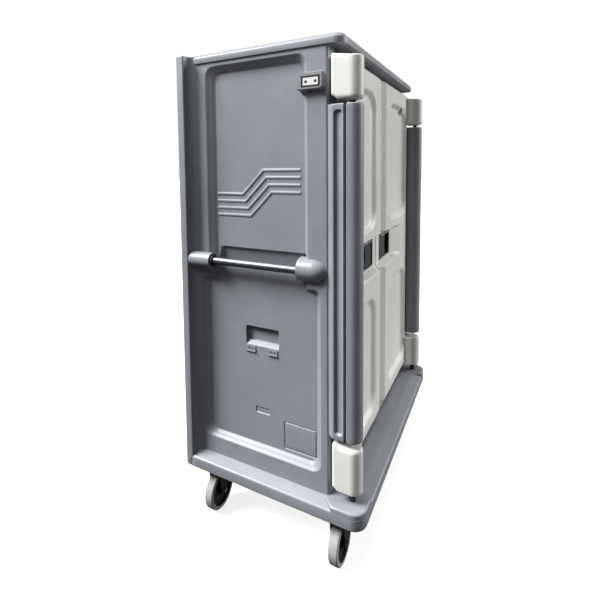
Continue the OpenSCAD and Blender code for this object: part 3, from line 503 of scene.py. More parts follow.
def lathe(name: str, centre: Sequence[float], axis: Axis, profile: Array, finish: Finish,
          sides: int = 64) -> bpy.types.Object:
    """A profile turned about an axis.

    A profile point (s, r) gives a ring of radius r at distance s along the axis; points with r = 0
    close to a pole.

    Args:
        name: The piece's name.
        centre: The axis's origin, in millimetres.
        axis: The axis that it is turned about.
        profile: Distances along the axis and radii, shape (n, 2).
        finish: The finish that the piece gets.
        sides: Points round each ring.

    Returns:
        The turned piece.
    """
    angle = np.linspace(0, 2 * math.pi, sides, endpoint=False)
    along = np.broadcast_to(profile[:, :1], (len(profile), sides))
    turned = np.stack([along, profile[:, 1:] * np.cos(angle), profile[:, 1:] * np.sin(angle)], axis=-1)
    return skin_rings(name, np.roll(turned, axis.value, axis=-1) + np.array(centre), finish, capped=False)


# ---------------------------------------------------------------- the frame's nodes and bodies


def body_of_node(node: str) -> str:
    """The body that a frame node rides on."""
    return frame["nodes"][node]["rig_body"]


def attach(piece: bpy.types.Object, body: str, node: str | None = None) -> None:
    """Puts a piece on a body, and hides the frame node that it stands for.

    Args:
        piece: The piece.
        body: The body that carries it.
        node: The frame node that it stands for, if there is one.
    """
    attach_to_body(piece, body)
    if node is not None:
        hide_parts(node)


def soften_node(node: str, finish: Finish, bevel_mm: float, slot: str) -> None:
    """Puts a welded and cleaned copy of a frame node, with soft edges, in the node's place.

    Args:
        node: The frame node that the copy stands for.
        finish: The finish that the copy gets.
        bevel_mm: Width of the live bevel on its sharp edges.
        slot: Not used.
    """
    mesh = frame["nodes"][node].data.copy()
    body = bmesh.new()
    body.from_mesh(mesh)
    bmesh.ops.remove_doubles(body, verts=body.verts, dist=1e-5)
    bmesh.ops.dissolve_limit(body, angle_limit=math.radians(0.8), verts=body.verts, edges=body.edges)
    body.to_mesh(mesh)
    body.free()
    sharp_degrees = 32.0
    piece = finish_mesh(f"{node}_soft", mesh, finish, sharp_degrees)
    soften = piece.modifiers.new("soft_edges", "BEVEL")
    soften.width = bevel_mm * MM
    soften.segments = 3
    soften.limit_method = "ANGLE"
    soften.angle_limit = math.radians(sharp_degrees)
    soften.use_clamp_overlap = True
    soften.harden_normals = True
    soften.miter_outer = "MITER_ARC"
    attach(piece, body_of_node(node), node)


# ---------------------------------------------------------------- the cart's pieces

# Where a door's hinge pin stands at the near end, the radius of the lobe about it, and the flat face
# in front of it that the hinge column and the door's ears share.
HINGE_PIN = (281.0, -482.0)
LOBE_R = 31.5
COLUMN_FACE = -513.5


@dataclass
class EndWall:
    """One end of the cabinet: recessed panel, pockets, handle bosses, corner columns.

    Fields are millimetres; across is X, and out is the distance from the cart's middle along Y. A
    box is its lowest corner, its highest corner and the radius of its corners.
    """

    end: End
    plane: float = 502.0
    inner: float = 445.0
    left: float = -325.0
    notch: float = 211.9
    notch_round: float = 9.0
    bottom: float = 230.0
    top: float = 1619.0
    depth: float = 20.0
    low_rim: tuple = ((-270.0, 290.0), (185.0, 884.0), 34.0)
    high_rim: tuple = ((-237.0, 760.0), (143.0, 1605.0), 34.0)
    low_floor: tuple = ((-245.0, 311.0), (166.0, 868.0), 26.0)
    high_floor: tuple = ((-207.0, 760.0), (127.0, 1580.0), 26.0)
    tight_above: float = 700.0
    tight_share: float = 0.62
    handle_z: float = 942.0
    handle_out: float = 516.0
    dome_r: float = 35.5
    dome_out: float = 494.0
    dome_start: float = 112.0
    dome_centre: float = 159.0
    dome_length: float = 47.0
    finger_ends: tuple = (-194.0, 134.0)
    finger_low: float = 921.0
    finger_top: float = 990.0
    menu: tuple = ((-99.0, 635.0), (29.0, 721.0), 6.0)
    menu_sill: float = 655.0
    menu_depth: float = 17.0
    small_label: tuple = ((-64.0, 418.0), (-11.0, 441.0), 2.0)
    large_label: tuple = ((48.0, 323.0), (161.0, 413.0), 3.0)
    relief: float = 2.4
    magnet_block: tuple = ((111.0, 1490.0), (202.0, 1543.0), 12.0)
    magnet_case: tuple = ((132.0, 1497.0), (194.0, 1531.0), 1.0)
    magnet_out: float = 18.0
    stud_z: float = 1514.0
    stud_x: tuple = (148.0, 178.0)
    stud_r: float = 4.2
    rivet_z: float = 643.8
    rivet_x: tuple = (-86.8, -73.2, -2.5, 11.1)
    rivet_r: float = 2.8
    rivet_out: float = -17.5
    stripe_rise: tuple = (-72.0, 8.0)
    stripe_ends: tuple = (-208.0, 114.0)
    stripe_z: float = 1100.0
    stripe_pitch: float = 24.0
    stripe_count: int = 4
    stripe_half_width: float = 5.6
    channel: tuple = ((231.5, 443.0), (261.5, 1427.0), 12.0)
    channel_depth: float = 8.5
    # Where the grid is finer, as start, end and step: at the edges of what the wall carries.
    fine_across: tuple = (
        (-272, -204, 1.8), (-190, -165, 2.0), (-112, -60, 2.4), (-101, -96, 0.9), (-84, 32, 2.2),
        (-66, -62, 0.7), (-13, -9, 0.7), (27, 32, 0.9), (45, 51, 0.7), (107, 115, 1.2), (108, 190, 1.9),
        (129, 136, 0.8), (158, 164, 0.7), (190, 212, 1.3), (191, 206, 0.9),
    )
    fine_upwards: tuple = (
        (288, 315, 1.3), (320, 326, 0.7), (410, 444, 1.3), (416, 420, 0.6), (439, 443, 0.6),
        (654, 670, 0.8), (716, 724, 0.9), (840, 1000, 2.4), (905, 981, 1.9), (980, 992, 1.2),
        (1092, 1270, 2.4), (1484, 1501, 0.9), (1501, 1527, 6.0), (1527, 1548, 0.9), (1576, 1608, 1.5),
    )

    def recess(self, x: Array, z: Array) -> Array:
        """Depth of the two-width recess.

        Two outlines bound it: the rim and the floor's edge. Two ramps, each straight but for a
        fifth of cubic ease, turn the share of the way between them into depth, with a faint ledge
        between the ramps. The lower field's corners are tighter at its top.

        Args:
            x: Where every point lies across the wall.
            z: How high it lies.

        Returns:
            The depth of every point.
        """
        tight = np.where(z > self.tight_above, self.tight_share, 1.0)
        rim, floor = (
            blended_min(box_distance(x, z, *low[:2], low[2] * tight), box_distance(x, z, *high), 7.0)
            for low, high in ((self.low_rim, self.high_rim), (self.low_floor, self.high_floor))
        )
        share = share_between(rim, floor)
        first, second = ramp(share, 0.5), ramp(share - 0.5, 0.5)
        return self.depth * (0.4 * (first + second) + 0.1 * (ease(first) + ease(second)))

    def finger_pocket(self, x: Array, z: Array) -> Array:
        """Depth of the pocket behind the handle.

        A short step at the top leads to a floor that leans in evenly on its way down, and the way
        out lies behind the handle's tube; both ends are slanted.

        Args:
            x: Where every point lies across the wall.
            z: How high it lies.

        Returns:
            The depth of every point.
        """
        down = self.finger_top - z
        left = x - self.finger_ends[0] + 0.3 * down
        right = self.finger_ends[1] - x - 0.25 * down
        step, lean = 7.0 * ease(down, 5.0), 14.0 * ramp(down, 58.0)
        return (step + lean) * ease(z - self.finger_low, 15.0) * ease(left, 14.0) * ease(right, 9.0)

    def menu_pocket(self, x: Array, z: Array) -> Array:
        """Depth of the menu card pocket.

        Its sides are steep, and its sill is a shallow slope between two steeper edges. The box runs
        on below the sill, so that the pocket is square there.

        Args:
            x: Where every point lies across the wall.
            z: How high it lies.

        Returns:
            The depth of every point.
        """
        up = z - self.menu_sill
        sill = 0.2 * ease(up, 2.5) + 0.4 * ramp(up - 1.5, 10.0) + 0.4 * ease(up - 10.5, 3.0)
        return self.menu_depth * ease(-box_distance(x, z, *self.menu), 3.0) * sill * (up > 0)

    def engraving(self, x: Array, z: Array) -> Array:
        """Depth of the label fields: the small one is sunk, the large one is a fine bell-shaped groove."""
        small, large = box_distance(x, z, *self.small_label), box_distance(x, z, *self.large_label)
        return self.relief * (ease(-small, 1.8) + np.exp(-(large / 1.6) ** 2))

    def stripes(self, x: Array, z: Array) -> Array:
        """Height of the raised stripes.

        Each is level, climbs at 45 degrees and is level again. The next one up starts its climb
        sooner by its height times tan 22.5 degrees, so that the gaps keep their width.

        Args:
            x: Where every point lies across the wall.
            z: How high it lies.

        Returns:
            The height of every point over the wall.
        """
        start, stop = self.stripe_rise
        length = ease(x - self.stripe_ends[0], 3.0) * ease(self.stripe_ends[1] - x, 3.0)
        height = np.zeros_like(x)
        for k in range(self.stripe_count):
            level = k * self.stripe_pitch
            along = x - start + level * math.tan(math.radians(22.5))
            climb = np.clip(along, 0.0, stop - start)
            slope = np.where((along > 0) & (along < stop - start), math.sqrt(0.5), 1.0)
            off = np.abs(z - self.stripe_z - level - climb) * slope
            height = np.maximum(height, self.relief * ease(self.stripe_half_width - off, 3.4) * length)
        return height

    def dome(self, x: Array, z: Array) -> Array:
        """Out-distance of the handle's round boss, and zero elsewhere.

        It is a bar along X whose end is an ellipsoid: out is the centre's distance plus the root of
        radius squared less the squares of the height and of the scaled reach past the bar's end.

        Args:
            x: Where every point lies across the wall.
            z: How high it lies.

        Returns:
            The out-distance of every point.
        """
        reach = np.maximum(x - self.dome_centre, 0.0) * self.dome_r / self.dome_length
        bulge = self.dome_r ** 2 - (z - self.handle_z) ** 2 - reach ** 2
        inside = (bulge > 0) & (x > self.dome_start)
        return np.where(inside, self.dome_out + np.sqrt(np.maximum(bulge, 0.0)), 0.0)

    def face(self, x: Array, z: Array) -> Array:
        """The end wall's outer surface: its plane, less the recesses, plus what stands out of it.

        Args:
            x: Where every point lies across the wall.
            z: How high it lies.

        Returns:
            The out-distance of every point, with a quarter round at the hinge column's notch.
        """
        out = self.plane - self.recess(x, z) - self.finger_pocket(x, z)
        out = out - self.menu_pocket(x, z) - self.engraving(x, z) + self.stripes(x, z)
        block = box_distance(x, z, *self.magnet_block)
        out = out + (self.plane + self.magnet_out - out) * ease(2.0 - block, 5.0)
        case = box_distance(x, z, *self.magnet_case)
        out = np.maximum(out - 12.0 * ease(-(case + 0.6), 1.2), self.dome(x, z))
        into_round = self.notch_round - np.clip(self.notch - x, 0.0, self.notch_round)
        return out - self.notch_round + np.sqrt(self.notch_round ** 2 - into_round ** 2)

    def build_panel(self) -> bpy.types.Object:
        """Builds the wall between the corner columns.

        Returns:
            The panel.
        """
        across = lines(self.left, self.notch, 16.0, self.fine_across)
        upwards = lines(self.bottom, self.top, 18.0, self.fine_upwards)
        side = Side.NEAR_END if self.end is End.NEAR else Side.FAR_END
        return slab(f"end_panel_{self.end.word}", side, across, upwards, self.face,
                    lambda x, z: np.full_like(x, self.inner), Finishes.SHELL)

    def build_back_column(self) -> bpy.types.Object:
        """Builds the column at the back corner: square outside, and flared where it meets the panel.

        Returns:
            The column.
        """
        corner = arc((-323.0, -533.0), 9.0, 180.0, 270.0, 9)
        nose = arc((-304.0, -537.0), 5.0, -90.0, 0.0, 9)
        # A steep wall, and then a broad lean that runs out into the panel.
        wall = [(-299.0, -532.0), (-298.0, -525.0), (-296.0, -520.5)]
        lean = np.linspace(0.0, 1.0, 8)
        flare = np.stack([-293.0 + 26.0 * lean, -517.0 + 16.0 * lean ** 0.62], axis=1)
        plan = np.concatenate([[(-332.0, -470.0)], corner, nose, wall, flare,
                               [(-267.0, -490.0), (-300.0, -470.0)]])
        heights, insets = soft_ends(176.0, 1646.0, (5.0, 5.0), (5.0, 5.0))
        return swept_plan(f"back_column_{self.end.word}", plan, heights, insets, Finishes.SHELL, self.end)

    def press_channel(self, points: Array) -> Array:
        """Presses the channel into the hinge column's flat front.

        Its outline is a stadium. Its left flank is steep, and its floor rises evenly to the right,
        so depth is the flank's ease times the share of the width that is left.

        Args:
            points: The near column's points, shape (n, m, 3).

        Returns:
            The same points, with those of the channel moved in.
        """
        x, y, z = points[..., 0], points[..., 1], points[..., 2]
        floor = 0.4 + 0.6 * ramp(262.0 - x, 21.0)
        depth = self.channel_depth * ease(-box_distance(x, z, *self.channel), 6.5) * floor * (y < -500.0)
        return np.stack([x, y + depth, z], axis=-1)

    def build_hinge_column(self) -> bpy.types.Object:
        """Builds the hinge column between the door's ears: ramp, channel, groove and round lobe.

        Returns:
            The column.
        """
        lead_in = [(211.0, -490.0), (211.0, -502.0), (213.0, -502.6), (217.0, -505.0), (224.0, -511.0),
                   (227.0, -513.0)]
        flat = np.linspace((229.5, COLUMN_FACE), (261.5, COLUMN_FACE), 26)
        # The groove is one wave of a cosine.
        step = np.linspace(-1, 1, 11)
        groove = np.stack([267.0 + 5.0 * step, COLUMN_FACE + 4.5 * (1 + np.cos(math.pi * step))], axis=1)
        lobe = arc(HINGE_PIN, LOBE_R, -84.0, 88.0, 36)
        plan = np.concatenate([lead_in, flat, groove, lobe, [(270.0, -450.5), (211.0, -450.5)]])
        quarter = 5
        heights, insets = soft_ends(427.0, 1444.0, (4.0, 4.0), (4.0, 4.0), quarter, 0)
        # Rings lie close together only at the channel's ends.
        (_, start), (_, stop), _ = self.channel
        fine = np.linspace(-4.0, 14.0, 15)
        between = np.concatenate([start + fine, np.linspace(470.0, 1400.0, 8), stop - fine[::-1]])
        return swept_plan(f"hinge_column_{self.end.word}", plan, np.insert(heights, quarter, between),
                          np.insert(insets, quarter, np.zeros_like(between)), Finishes.SHELL, self.end,
                          self.press_channel)

    def build_boss(self) -> bpy.types.Object:
        """Builds the long round boss that carries the handle at the back column.

        Returns:
            The boss.
        """
        radius, mouth, shoulder, lip = 26.0, -210.0, -290.0, 3.0
        ball = arc((shoulder, 0.0), radius, 180.0, 90.0, 12)
        rim = arc((mouth - lip, radius - lip), lip, 90.0, 0.0, 12)
        profile = np.concatenate([ball, rim, [(mouth, 15.5), (mouth - 4, 15.0), (mouth - 4, 0.0)]])
        centre = (0.0, self.end.value * self.handle_out, self.handle_z)
        return lathe(f"handle_boss_{self.end.word}", centre, Axis.X, profile, Finishes.SHELL)

    def build_tube(self) -> bpy.types.Object:
        """Builds the handle tube with its softened ends inside the bosses.

        Returns:
            The tube.
        """
        profile = np.array([(-236, 0), (-236, 11), (-234, 13), (130, 13), (132, 11), (132, 0)], float)
        centre = (0.0, self.end.value * self.handle_out, self.handle_z)
        return lathe(f"handle_tube_{self.end.word}", centre, Axis.X, profile, Finishes.TUBE)

    def build_heads(self) -> list[bpy.types.Object]:
        """Builds the round heads that hold the magnet's face plate and the menu clips.

        Returns:
            Two studs and four rivets.
        """
        heads = [(f"magnet_stud_{word}", x, self.stud_z, self.magnet_out, self.stud_r)
                 for word, x in zip(("left", "right"), self.stud_x)]
        heads += [(f"clip_rivet_{k}", x, self.rivet_z, self.rivet_out, self.rivet_r)
                  for k, x in enumerate(self.rivet_x)]
        made = []
        for name, x, z, lift, radius in heads:
            crown = arc((0.0, 0.0), radius, 0.0, 90.0, 7) * (0.38, 1.0)
            profile = np.concatenate([crown, [(-1.5, radius), (-1.5, 0.0)]]) * (self.end.value, 1.0)
            centre = (x, self.end.value * (self.plane + lift), z)
            made.append(lathe(f"{name}_{self.end.word}", centre, Axis.Y, profile, Finishes.NYLON, 20))
        return made

    def build(self) -> None:
        """Builds the wall's pieces, of which the panel and the tube stand for the frame's nodes."""
        word = self.end.word
        attach(self.build_panel(), "cabinet", f"end_wall_{word}")
        plain = [self.build_back_column(), self.build_hinge_column(), self.build_boss()]
        for piece in plain:
            attach(piece, "cabinet")
        heads = self.build_heads()
        for head in heads:
            attach(head, "cabinet")
        attach(self.build_tube(), "cabinet", f"handle_bar_{word}")
        log.info("end wall %s: %d pieces", word, len(plain) + len(heads) + 2)


@dataclass
class DoorLeaf:
    """One door: a moulded leaf with recessed panels, its ears and the ribbed meeting edge.

    Fields are millimetres; across is the distance from the cart's middle towards the hinge. A box
    is its lowest corner, its highest corner and the radius of its corners.
    """

    end: End
    face_out: float = 250.0
    back_out: float = 190.0
    seam: float = 2.0
    hinge: float = 440.5
    low: float = 242.0
    high: float = 1598.0
    # Where the face's bevels start, and how far each one drops at the edge.
    face_low: float = 282.0
    face_high: float = 1585.0
    foot_bevel: float = 18.0
    head_bevel: float = 12.0
    seam_bevel: float = 26.0
    seam_bevel_width: float = 41.0
    seam_round: float = 11.0
    seam_round_width: float = 6.5
    # The rim and the floor's edge of the upper and the lower recessed panel.
    panels: tuple = (
        (((94.0, 1023.0), (436.0, 1529.0), 78.0), ((128.0, 1045.0), (408.0, 1507.0), 58.0)),
        (((94.0, 318.0), (436.0, 772.0), 72.0), ((128.0, 340.0), (408.0, 750.0), 52.0)),
    )
    panel_depth: float = 16.0
    pocket: tuple = ((-60.0, 847.0), (230.0, 997.0), 26.0)
    pocket_depth: float = 31.0
    pocket_slope_start: float = 216.0
    pocket_slope_width: float = 100.0
    pan: tuple = ((56.0, 869.0), (212.0, 975.0), 3.0)
    well_out: float = 198.5
    bead_height: float = 2.6
    bead_gap: float = 9.0
    liner_field: tuple = ((100.0, 336.0), (390.0, 1530.0), 40.0)
    lip_heights: tuple = (970.0, 874.0)
    # Where the grid is finer, as start, end and step.
    fine_across: tuple = (
        (2, 9, 0.6), (10, 42, 3.0), (42, 62, 0.8), (98, 132, 1.6), (128, 200, 7.0), (206, 226, 0.8),
        (226, 234, 1.5), (385, 392, 2.0), (395, 440.5, 6.0),
    )
    fine_upwards: tuple = (
        (242, 284, 4.0), (320, 420, 4.0), (322, 345, 1.6), (700, 768, 3.0), (745, 766, 1.6),
        (844, 854, 1.3), (854, 875, 0.8), (969, 990, 0.8), (990, 1000, 1.3), (1018, 1120, 3.0),
        (1020, 1048, 2.0), (1440, 1532, 3.0), (1502, 1532, 2.0), (1580, 1598, 2.0),
    )

    def face(self, y: Array, z: Array) -> Array:
        """The leaf's outer surface, from its plane, its bevels and its recesses.

        Args:
            y: Where every point lies along the cart.
            z: How high it lies.

        Returns:
            The out-distance of every point.
        """
        across = np.abs(y)
        from_seam = across - self.seam
        out = self.face_out - self.seam_bevel * ramp(self.seam_bevel_width - from_seam, self.seam_bevel_width)
        out = out - self.foot_bevel * ramp(self.face_low - z, self.face_low - self.low)
        out = out - self.head_bevel * ramp(z - self.face_high, self.high - self.face_high)
        for rim, floor in self.panels:
            share = share_between(box_distance(across, z, *rim), box_distance(across, z, *floor))
            out = out - self.panel_depth * ease(share)
        floor_out = self.face_out - self.pocket_depth
        out = out + np.minimum(floor_out - out, 0.0) * ease(-box_distance(across, z, *self.pocket), 17.0)
        # On its hinge side the pocket runs out in a long slope.
        rise = ramp(across - self.pocket_slope_start, self.pocket_slope_width)
        slope = floor_out + self.pocket_depth * rise
        (_, low), (_, high), _ = self.pocket
        tall = ease(np.minimum(z - low, high - z) - 2.0, 17.0) * (across > 190.0)
        out = out + np.minimum(slope - out, 0.0) * tall
        # The meeting edges are rounded, so that the seam between the doors reads as a dark line.
        near_seam = ramp(self.seam_round_width - from_seam, self.seam_round_width)
        out = out - self.seam_round * (1.0 - np.sqrt(1.0 - near_seam ** 2))
        # A raised bead frames the latch's pan, which sits in a well.
        pan = box_distance(across, z, *self.pan)
        out = out + self.bead_height * np.exp(-((pan - self.bead_gap) / 2.4) ** 2)
        return out + (self.well_out - out) * ease(-(pan + 1.6), 1.4)

    def liner(self, y: Array, z: Array) -> Array:
        """The leaf's inner surface, with a shallow sunk field inside the gasket."""
        return self.back_out + 6.0 * ease(-box_distance(np.abs(y), z, *self.liner_field), 12.0)

    def build_leaf(self) -> bpy.types.Object:
        """Builds the moulded leaf.

        Returns:
            The leaf.
        """
        across = np.sort(lines(self.seam, self.hinge, 12.0, self.fine_across) * self.end.value)
        upwards = lines(self.low, self.high, 14.0, self.fine_upwards)
        return slab(f"door_leaf_{self.end.word}", Side.DOORS, across, upwards, self.face, self.liner,
                    Finishes.DOOR)

    def ear_plan(self) -> Array:
        """Outline of an ear: round about the pin, flat in front, and carried back into the leaf.

        Returns:
            The outline's points, shape (n, 2).
        """
        corner = arc((232.0, -505.5), 8.0, -180.0, -90.0, 7)
        flat = np.linspace((236.0, COLUMN_FACE), (276.0, COLUMN_FACE), 12)
        lobe = arc(HINGE_PIN, LOBE_R, -90.0, 60.0, 30)
        # A concave fillet that carries the lobe into the leaf's face.
        step = np.linspace(0.0, 1.0, 9)
        fillet = np.stack([292.0 - 42.0 * step, -453.0 + 26.0 * ease(step)], axis=1)
        return np.concatenate([[(224.0, -425.0)], corner, flat, lobe, fillet, [(250.0, -425.0)]])

    def lift_tip(self, points: Array) -> Array:
        """Steps the ear's ends up by 9 mm on the side away from the pin, with an S-shaped ease."""
        x, y, z = points[..., 0], points[..., 1], points[..., 2]
        return np.stack([x, y, z + 9.0 * ease(244.0 - x, 13.0)], axis=-1)

    def build_ear(self, label: str, low: float, high: float, foot: tuple[float, float],
                  head: tuple[float, float]) -> bpy.types.Object:
        """Builds one ear as a sweep.

        Args:
            label: Which ear it is.
            low: Its lowest height.
            high: Its highest height.
            foot: Rise and inset of the lower end's rounding.
            head: Rise and inset of the upper end's rounding.

        Returns:
            The ear.
        """
        heights, insets = soft_ends(low, high, foot, head, 8, 4)
        name = f"door_ear_{label}_{self.end.word}"
        return swept_plan(name, self.ear_plan(), heights, insets, Finishes.DOOR, self.end, self.lift_tip)

    def build_latch_lip(self, label: str, z: float) -> bpy.types.Object:
        """Builds a polished round lip along the top or bottom of the latch pan's mouth.

        Args:
            label: Which lip it is.
            z: Its height.

        Returns:
            The lip.
        """
        start, stop, radius, mouth_out = 68.0, 200.0, 2.3, 222.3
        near_end = arc((start + radius, 0.0), radius, 180.0, 90.0, 6)
        far_end = arc((stop - radius, 0.0), radius, 90.0, 0.0, 6)
        profile = np.concatenate([near_end, far_end]) * (self.end.value, 1.0)
        name = f"latch_lip_{label}_{self.end.word}"
        return lathe(name, (mouth_out, 0.0, z), Axis.Y, profile, Finishes.SHEET, 20)

    def place_spring(self) -> None:
        """Winds the tongue's spring as one fixed coil; the real spring shortens as the tongue is drawn in.

        The wire's middle follows a helix along X. Its round section lies in the plane of the
        outward direction and of that direction's cross product with the helix's tangent.
        """
        start, stop, coil_r, wire_r, turns, travel = 195.2, 201.8, 6.6, 0.8, 3.0, 3.0
        side_y, height = 73.0 * self.end.value, 922.0
        t = np.linspace(0.0, 1.0, 73)[:, None]
        angle = 2 * math.pi * turns * t
        radial = np.concatenate([np.zeros_like(t), np.cos(angle), np.sin(angle)], axis=1)
        along = np.concatenate([start + wire_r + (stop - start - 2 * wire_r) * t, 0 * t, 0 * t], axis=1)
        middle = along + coil_r * radial + np.array([0.0, side_y, height])
        across = np.cross(np.gradient(middle, axis=0), radial)
        across /= np.linalg.norm(across, axis=1, keepdims=True)
        phi = np.linspace(0, 2 * math.pi, 10, endpoint=False)[None, :, None]
        rings = middle[:, None] + wire_r * (np.cos(phi) * radial[:, None] + np.sin(phi) * across[:, None])
        word = self.end.word
        spring = skin_rings(f"tongue_spring_{word}", rings, Finishes.ZINC)
        attach(spring, body_of_node(f"latch_spring_{word}"), f"latch_spring_{word}")
        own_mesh(spring)

    def build(self) -> None:
        """Builds the leaf, which stands for the frame's door, its ears and the latch's small pieces."""
        body = f"door_{self.end.word}"
        attach(self.build_leaf(), body, body)
        broad, tight = (13.0, 7.0), (6.0, 5.0)
        for ear in (self.build_ear("upper", 1456.0, 1579.0, broad, tight),
                    self.build_ear("lower", 262.0, 406.0, tight, broad)):
            attach(ear, body)
        self.place_spring()
        for label, z in zip(("upper", "lower"), self.lip_heights):
            attach(self.build_latch_lip(label, z), body)
        log.info("door %s: leaf, 2 ears, spring and 2 lips", self.end.word)


@dataclass
class BaseBumper:
    """The moulded base: an upright rim, a shoulder that slopes up to the deck, and two corner pads.

    Fields are millimetres.
    """

    side: float = 332.0
    end_out: float = 542.0
    low: float = 175.0
    face_top: float = 214.0
    deck: float = 230.0
    shoulder_door: float = 44.0
    shoulder_end: float = 40.0
    corner_r: float = 45.0
    inner: tuple = ((-270.0, -480.0), (270.0, 480.0))
    edge_r: float = 5.0
    pad_gap: float = 0.4
    # How far in from the rim the rings of the upper side lie.
    reaches: tuple = (8.0, 14.0, 22.0, 30.0, 36.0, 39.0, 41.0, 44.0, 48.0, 55.0, 62.0)

    def corner(self, radius: float) -> Array:
        """The near corner at the door side, as an arc of the given radius about the rim's own centre."""
        return arc((self.side - self.corner_r, self.corner_r - self.end_out), radius, -90.0, 0.0, 13)

    def half_outline(self) -> Array:
        """The near half of the outline, from the middle of the back to the middle of the door side.

        Returns:
            The outline's points, shape (n, 2).
        """
        back = [(-self.side, 0.0), (-self.side, -240.0), (-self.side, -478.0), (-325.0, -482.0),
                (-325.0, -530.0), (-307.5, -self.end_out)]
        end = np.linspace((-280.0, -self.end_out), (270.0, -self.end_out), 20)
        door = np.linspace((self.side, -480.0), (self.side, 0.0), 17)
        return np.concatenate([back, end, self.corner(self.corner_r), door])

    def top(self, x: Array, y: Array) -> Array:
        """Height of the upper surface: the lowest of the deck and the two slopes, with soft bends.

        Args:
            x: Where every point lies across the cart.
            y: Where it lies along the cart.

        Returns:
            The height of every point.
        """
        rise = self.deck - self.face_top
        ends = self.face_top + rise * (self.end_out - np.abs(y)) / self.shoulder_end
        doors = self.face_top + rise * (self.side - x) / self.shoulder_door
        return blended_min(blended_min(ends, doors, 3.0), np.full_like(x, self.deck), 3.0)

    def build_base(self) -> bpy.types.Object:
        """Builds the base as rings that step from its outline towards an inner rectangle.

        Ring k lies a share of the way from the outline to its nearest point on the rectangle. Its
        height is a quarter round at the bottom, upright at the rim and the upper surface inside.

        Returns:
            The base.
        """
        half = self.half_outline()
        plan = np.concatenate([half, (half * [1, -1])[-2:0:-1]])
        plan = plan[np.argsort(np.arctan2(plan[:, 1] / self.end_out, plan[:, 0] / self.side))]
        r = self.edge_r
        foot = arc((r, self.low + r), r, 270.0, 180.0, 6)
        rim = [(0.0, 195.0), (0.0, self.face_top - r)]
        crown = arc((r, -r), r, 180.0, 90.0, 6)[1:]
        inside = [(reach, 0.0) for reach in self.reaches]
        upright, above = np.concatenate([foot, rim]), np.concatenate([crown, inside])
        share = np.concatenate([upright, above])[:, :1, None] / self.reaches[-1]
        rings = plan[None] + share * (np.clip(plan, *self.inner) - plan)[None]
        upper = rings[len(upright):]
        height = np.concatenate([
            np.broadcast_to(upright[:, 1:], (len(upright), len(plan))),
            self.top(upper[..., 0], upper[..., 1]) + above[:, 1:],
        ])
        rings = np.concatenate([rings, height[..., None]], axis=-1)
        return skin_rings("base_shell", rings, Finishes.SHELL, flat_degrees=60.0)

    def build_pad(self, end: End) -> bpy.types.Object:
        """Builds the raised pad under one door's hinge, a hair inside the rim so that no faces meet.

        Args:
            end: The end of the cart that the pad is at.

        Returns:
            The pad.
        """
        side, end_out = self.side - self.pad_gap, self.end_out - self.pad_gap
        plan = np.concatenate([
            [(192.0, -440.0), (192.0, -503.0), (206.0, -517.0), (219.0, -530.0), (231.0, -end_out),
             (250.0, -end_out)],
            self.corner(self.corner_r - self.pad_gap),
            [(side, -470.0), (side, -449.0), (318.0, -441.0), (303.0, -433.0), (288.0, -425.0),
             (210.0, -425.0)],
        ])
        heights, insets = soft_ends(190.0, self.deck + 0.5, (0.5, 0.5), (7.0, 7.0), 8, 1)
        return swept_plan(f"corner_pad_{end.word}", plan, heights, insets, Finishes.SHELL, end)

    def build(self) -> None:
        """Builds the base, which stands for the frame's node, and its pads."""
        body = body_of_node("base_bumper")
        attach(self.build_base(), body, "base_bumper")
        for end in End:
            attach(self.build_pad(end), body)
        log.info("base: 1 shell and 2 pads")


@dataclass
class RoofLid:
    """The roof: a lid with a broad sloping rim and a shallow tray on top.

    Fields are millimetres.
    """

    back: float = -325.0
    door: float = 261.0
    half_length: float = 507.0
    low: float = 1619.0
    high: float = 1650.0
    corner_r: float = 34.0
    tray_inset: float = 24.0
    tray_step: float = 13.0
    tray_drop: float = 6.0

    def plan(self) -> Array:
        """Outline of the lid: square at the back, round at the door side.

        Returns:
            The outline's points, shape (n, 2).
        """
        front = np.linspace((self.door, 30.0), (self.door, 440.0), 14)
        r = self.corner_r
        corner = arc((self.door - r, self.half_length - r), r, 0.0, 90.0, 12)
        along = np.linspace((210.0, self.half_length), (-310.0, self.half_length), 14)
        behind = np.linspace((self.back, self.half_length), (self.back, 30.0), 18)
        half = np.concatenate([front, corner, along, behind])
        return np.concatenate([half, (half * [1, -1])[::-1]])

    def build(self) -> None:
        """Builds the lid as rings drawn in along its outline's normals, upper side last.

        From the bottom: an upright band, a slope that draws in 11 mm over 9 mm of height, a flat
        rim, and an S-shaped step down into the tray.
        """
        band = [(1.5, self.low), (0.3, self.low + 0.4), (0.0, self.low + 1.5), (0.0, 1636.5)]
        slope = [(0.3, 1638.0), (1.2, 1639.6), (9.0, 1647.4), (10.6, 1648.8), (12.5, 1649.7)]
        rim = [(15.0, self.high), (22.0, self.high)]
        step = np.linspace(0.0, 1.0, 9)
        inset, height = self.tray_inset + self.tray_step * step, self.high - self.tray_drop * ease(step)
        tray = np.stack([inset, height], axis=1)
        profile = np.concatenate([band, slope, rim, tray])
        lid = swept_plan("roof_lid", self.plan(), profile[:, 1], profile[:, 0], Finishes.SHELL)
        attach(lid, body_of_node("roof"), "roof")
        log.info("roof: 1 piece")


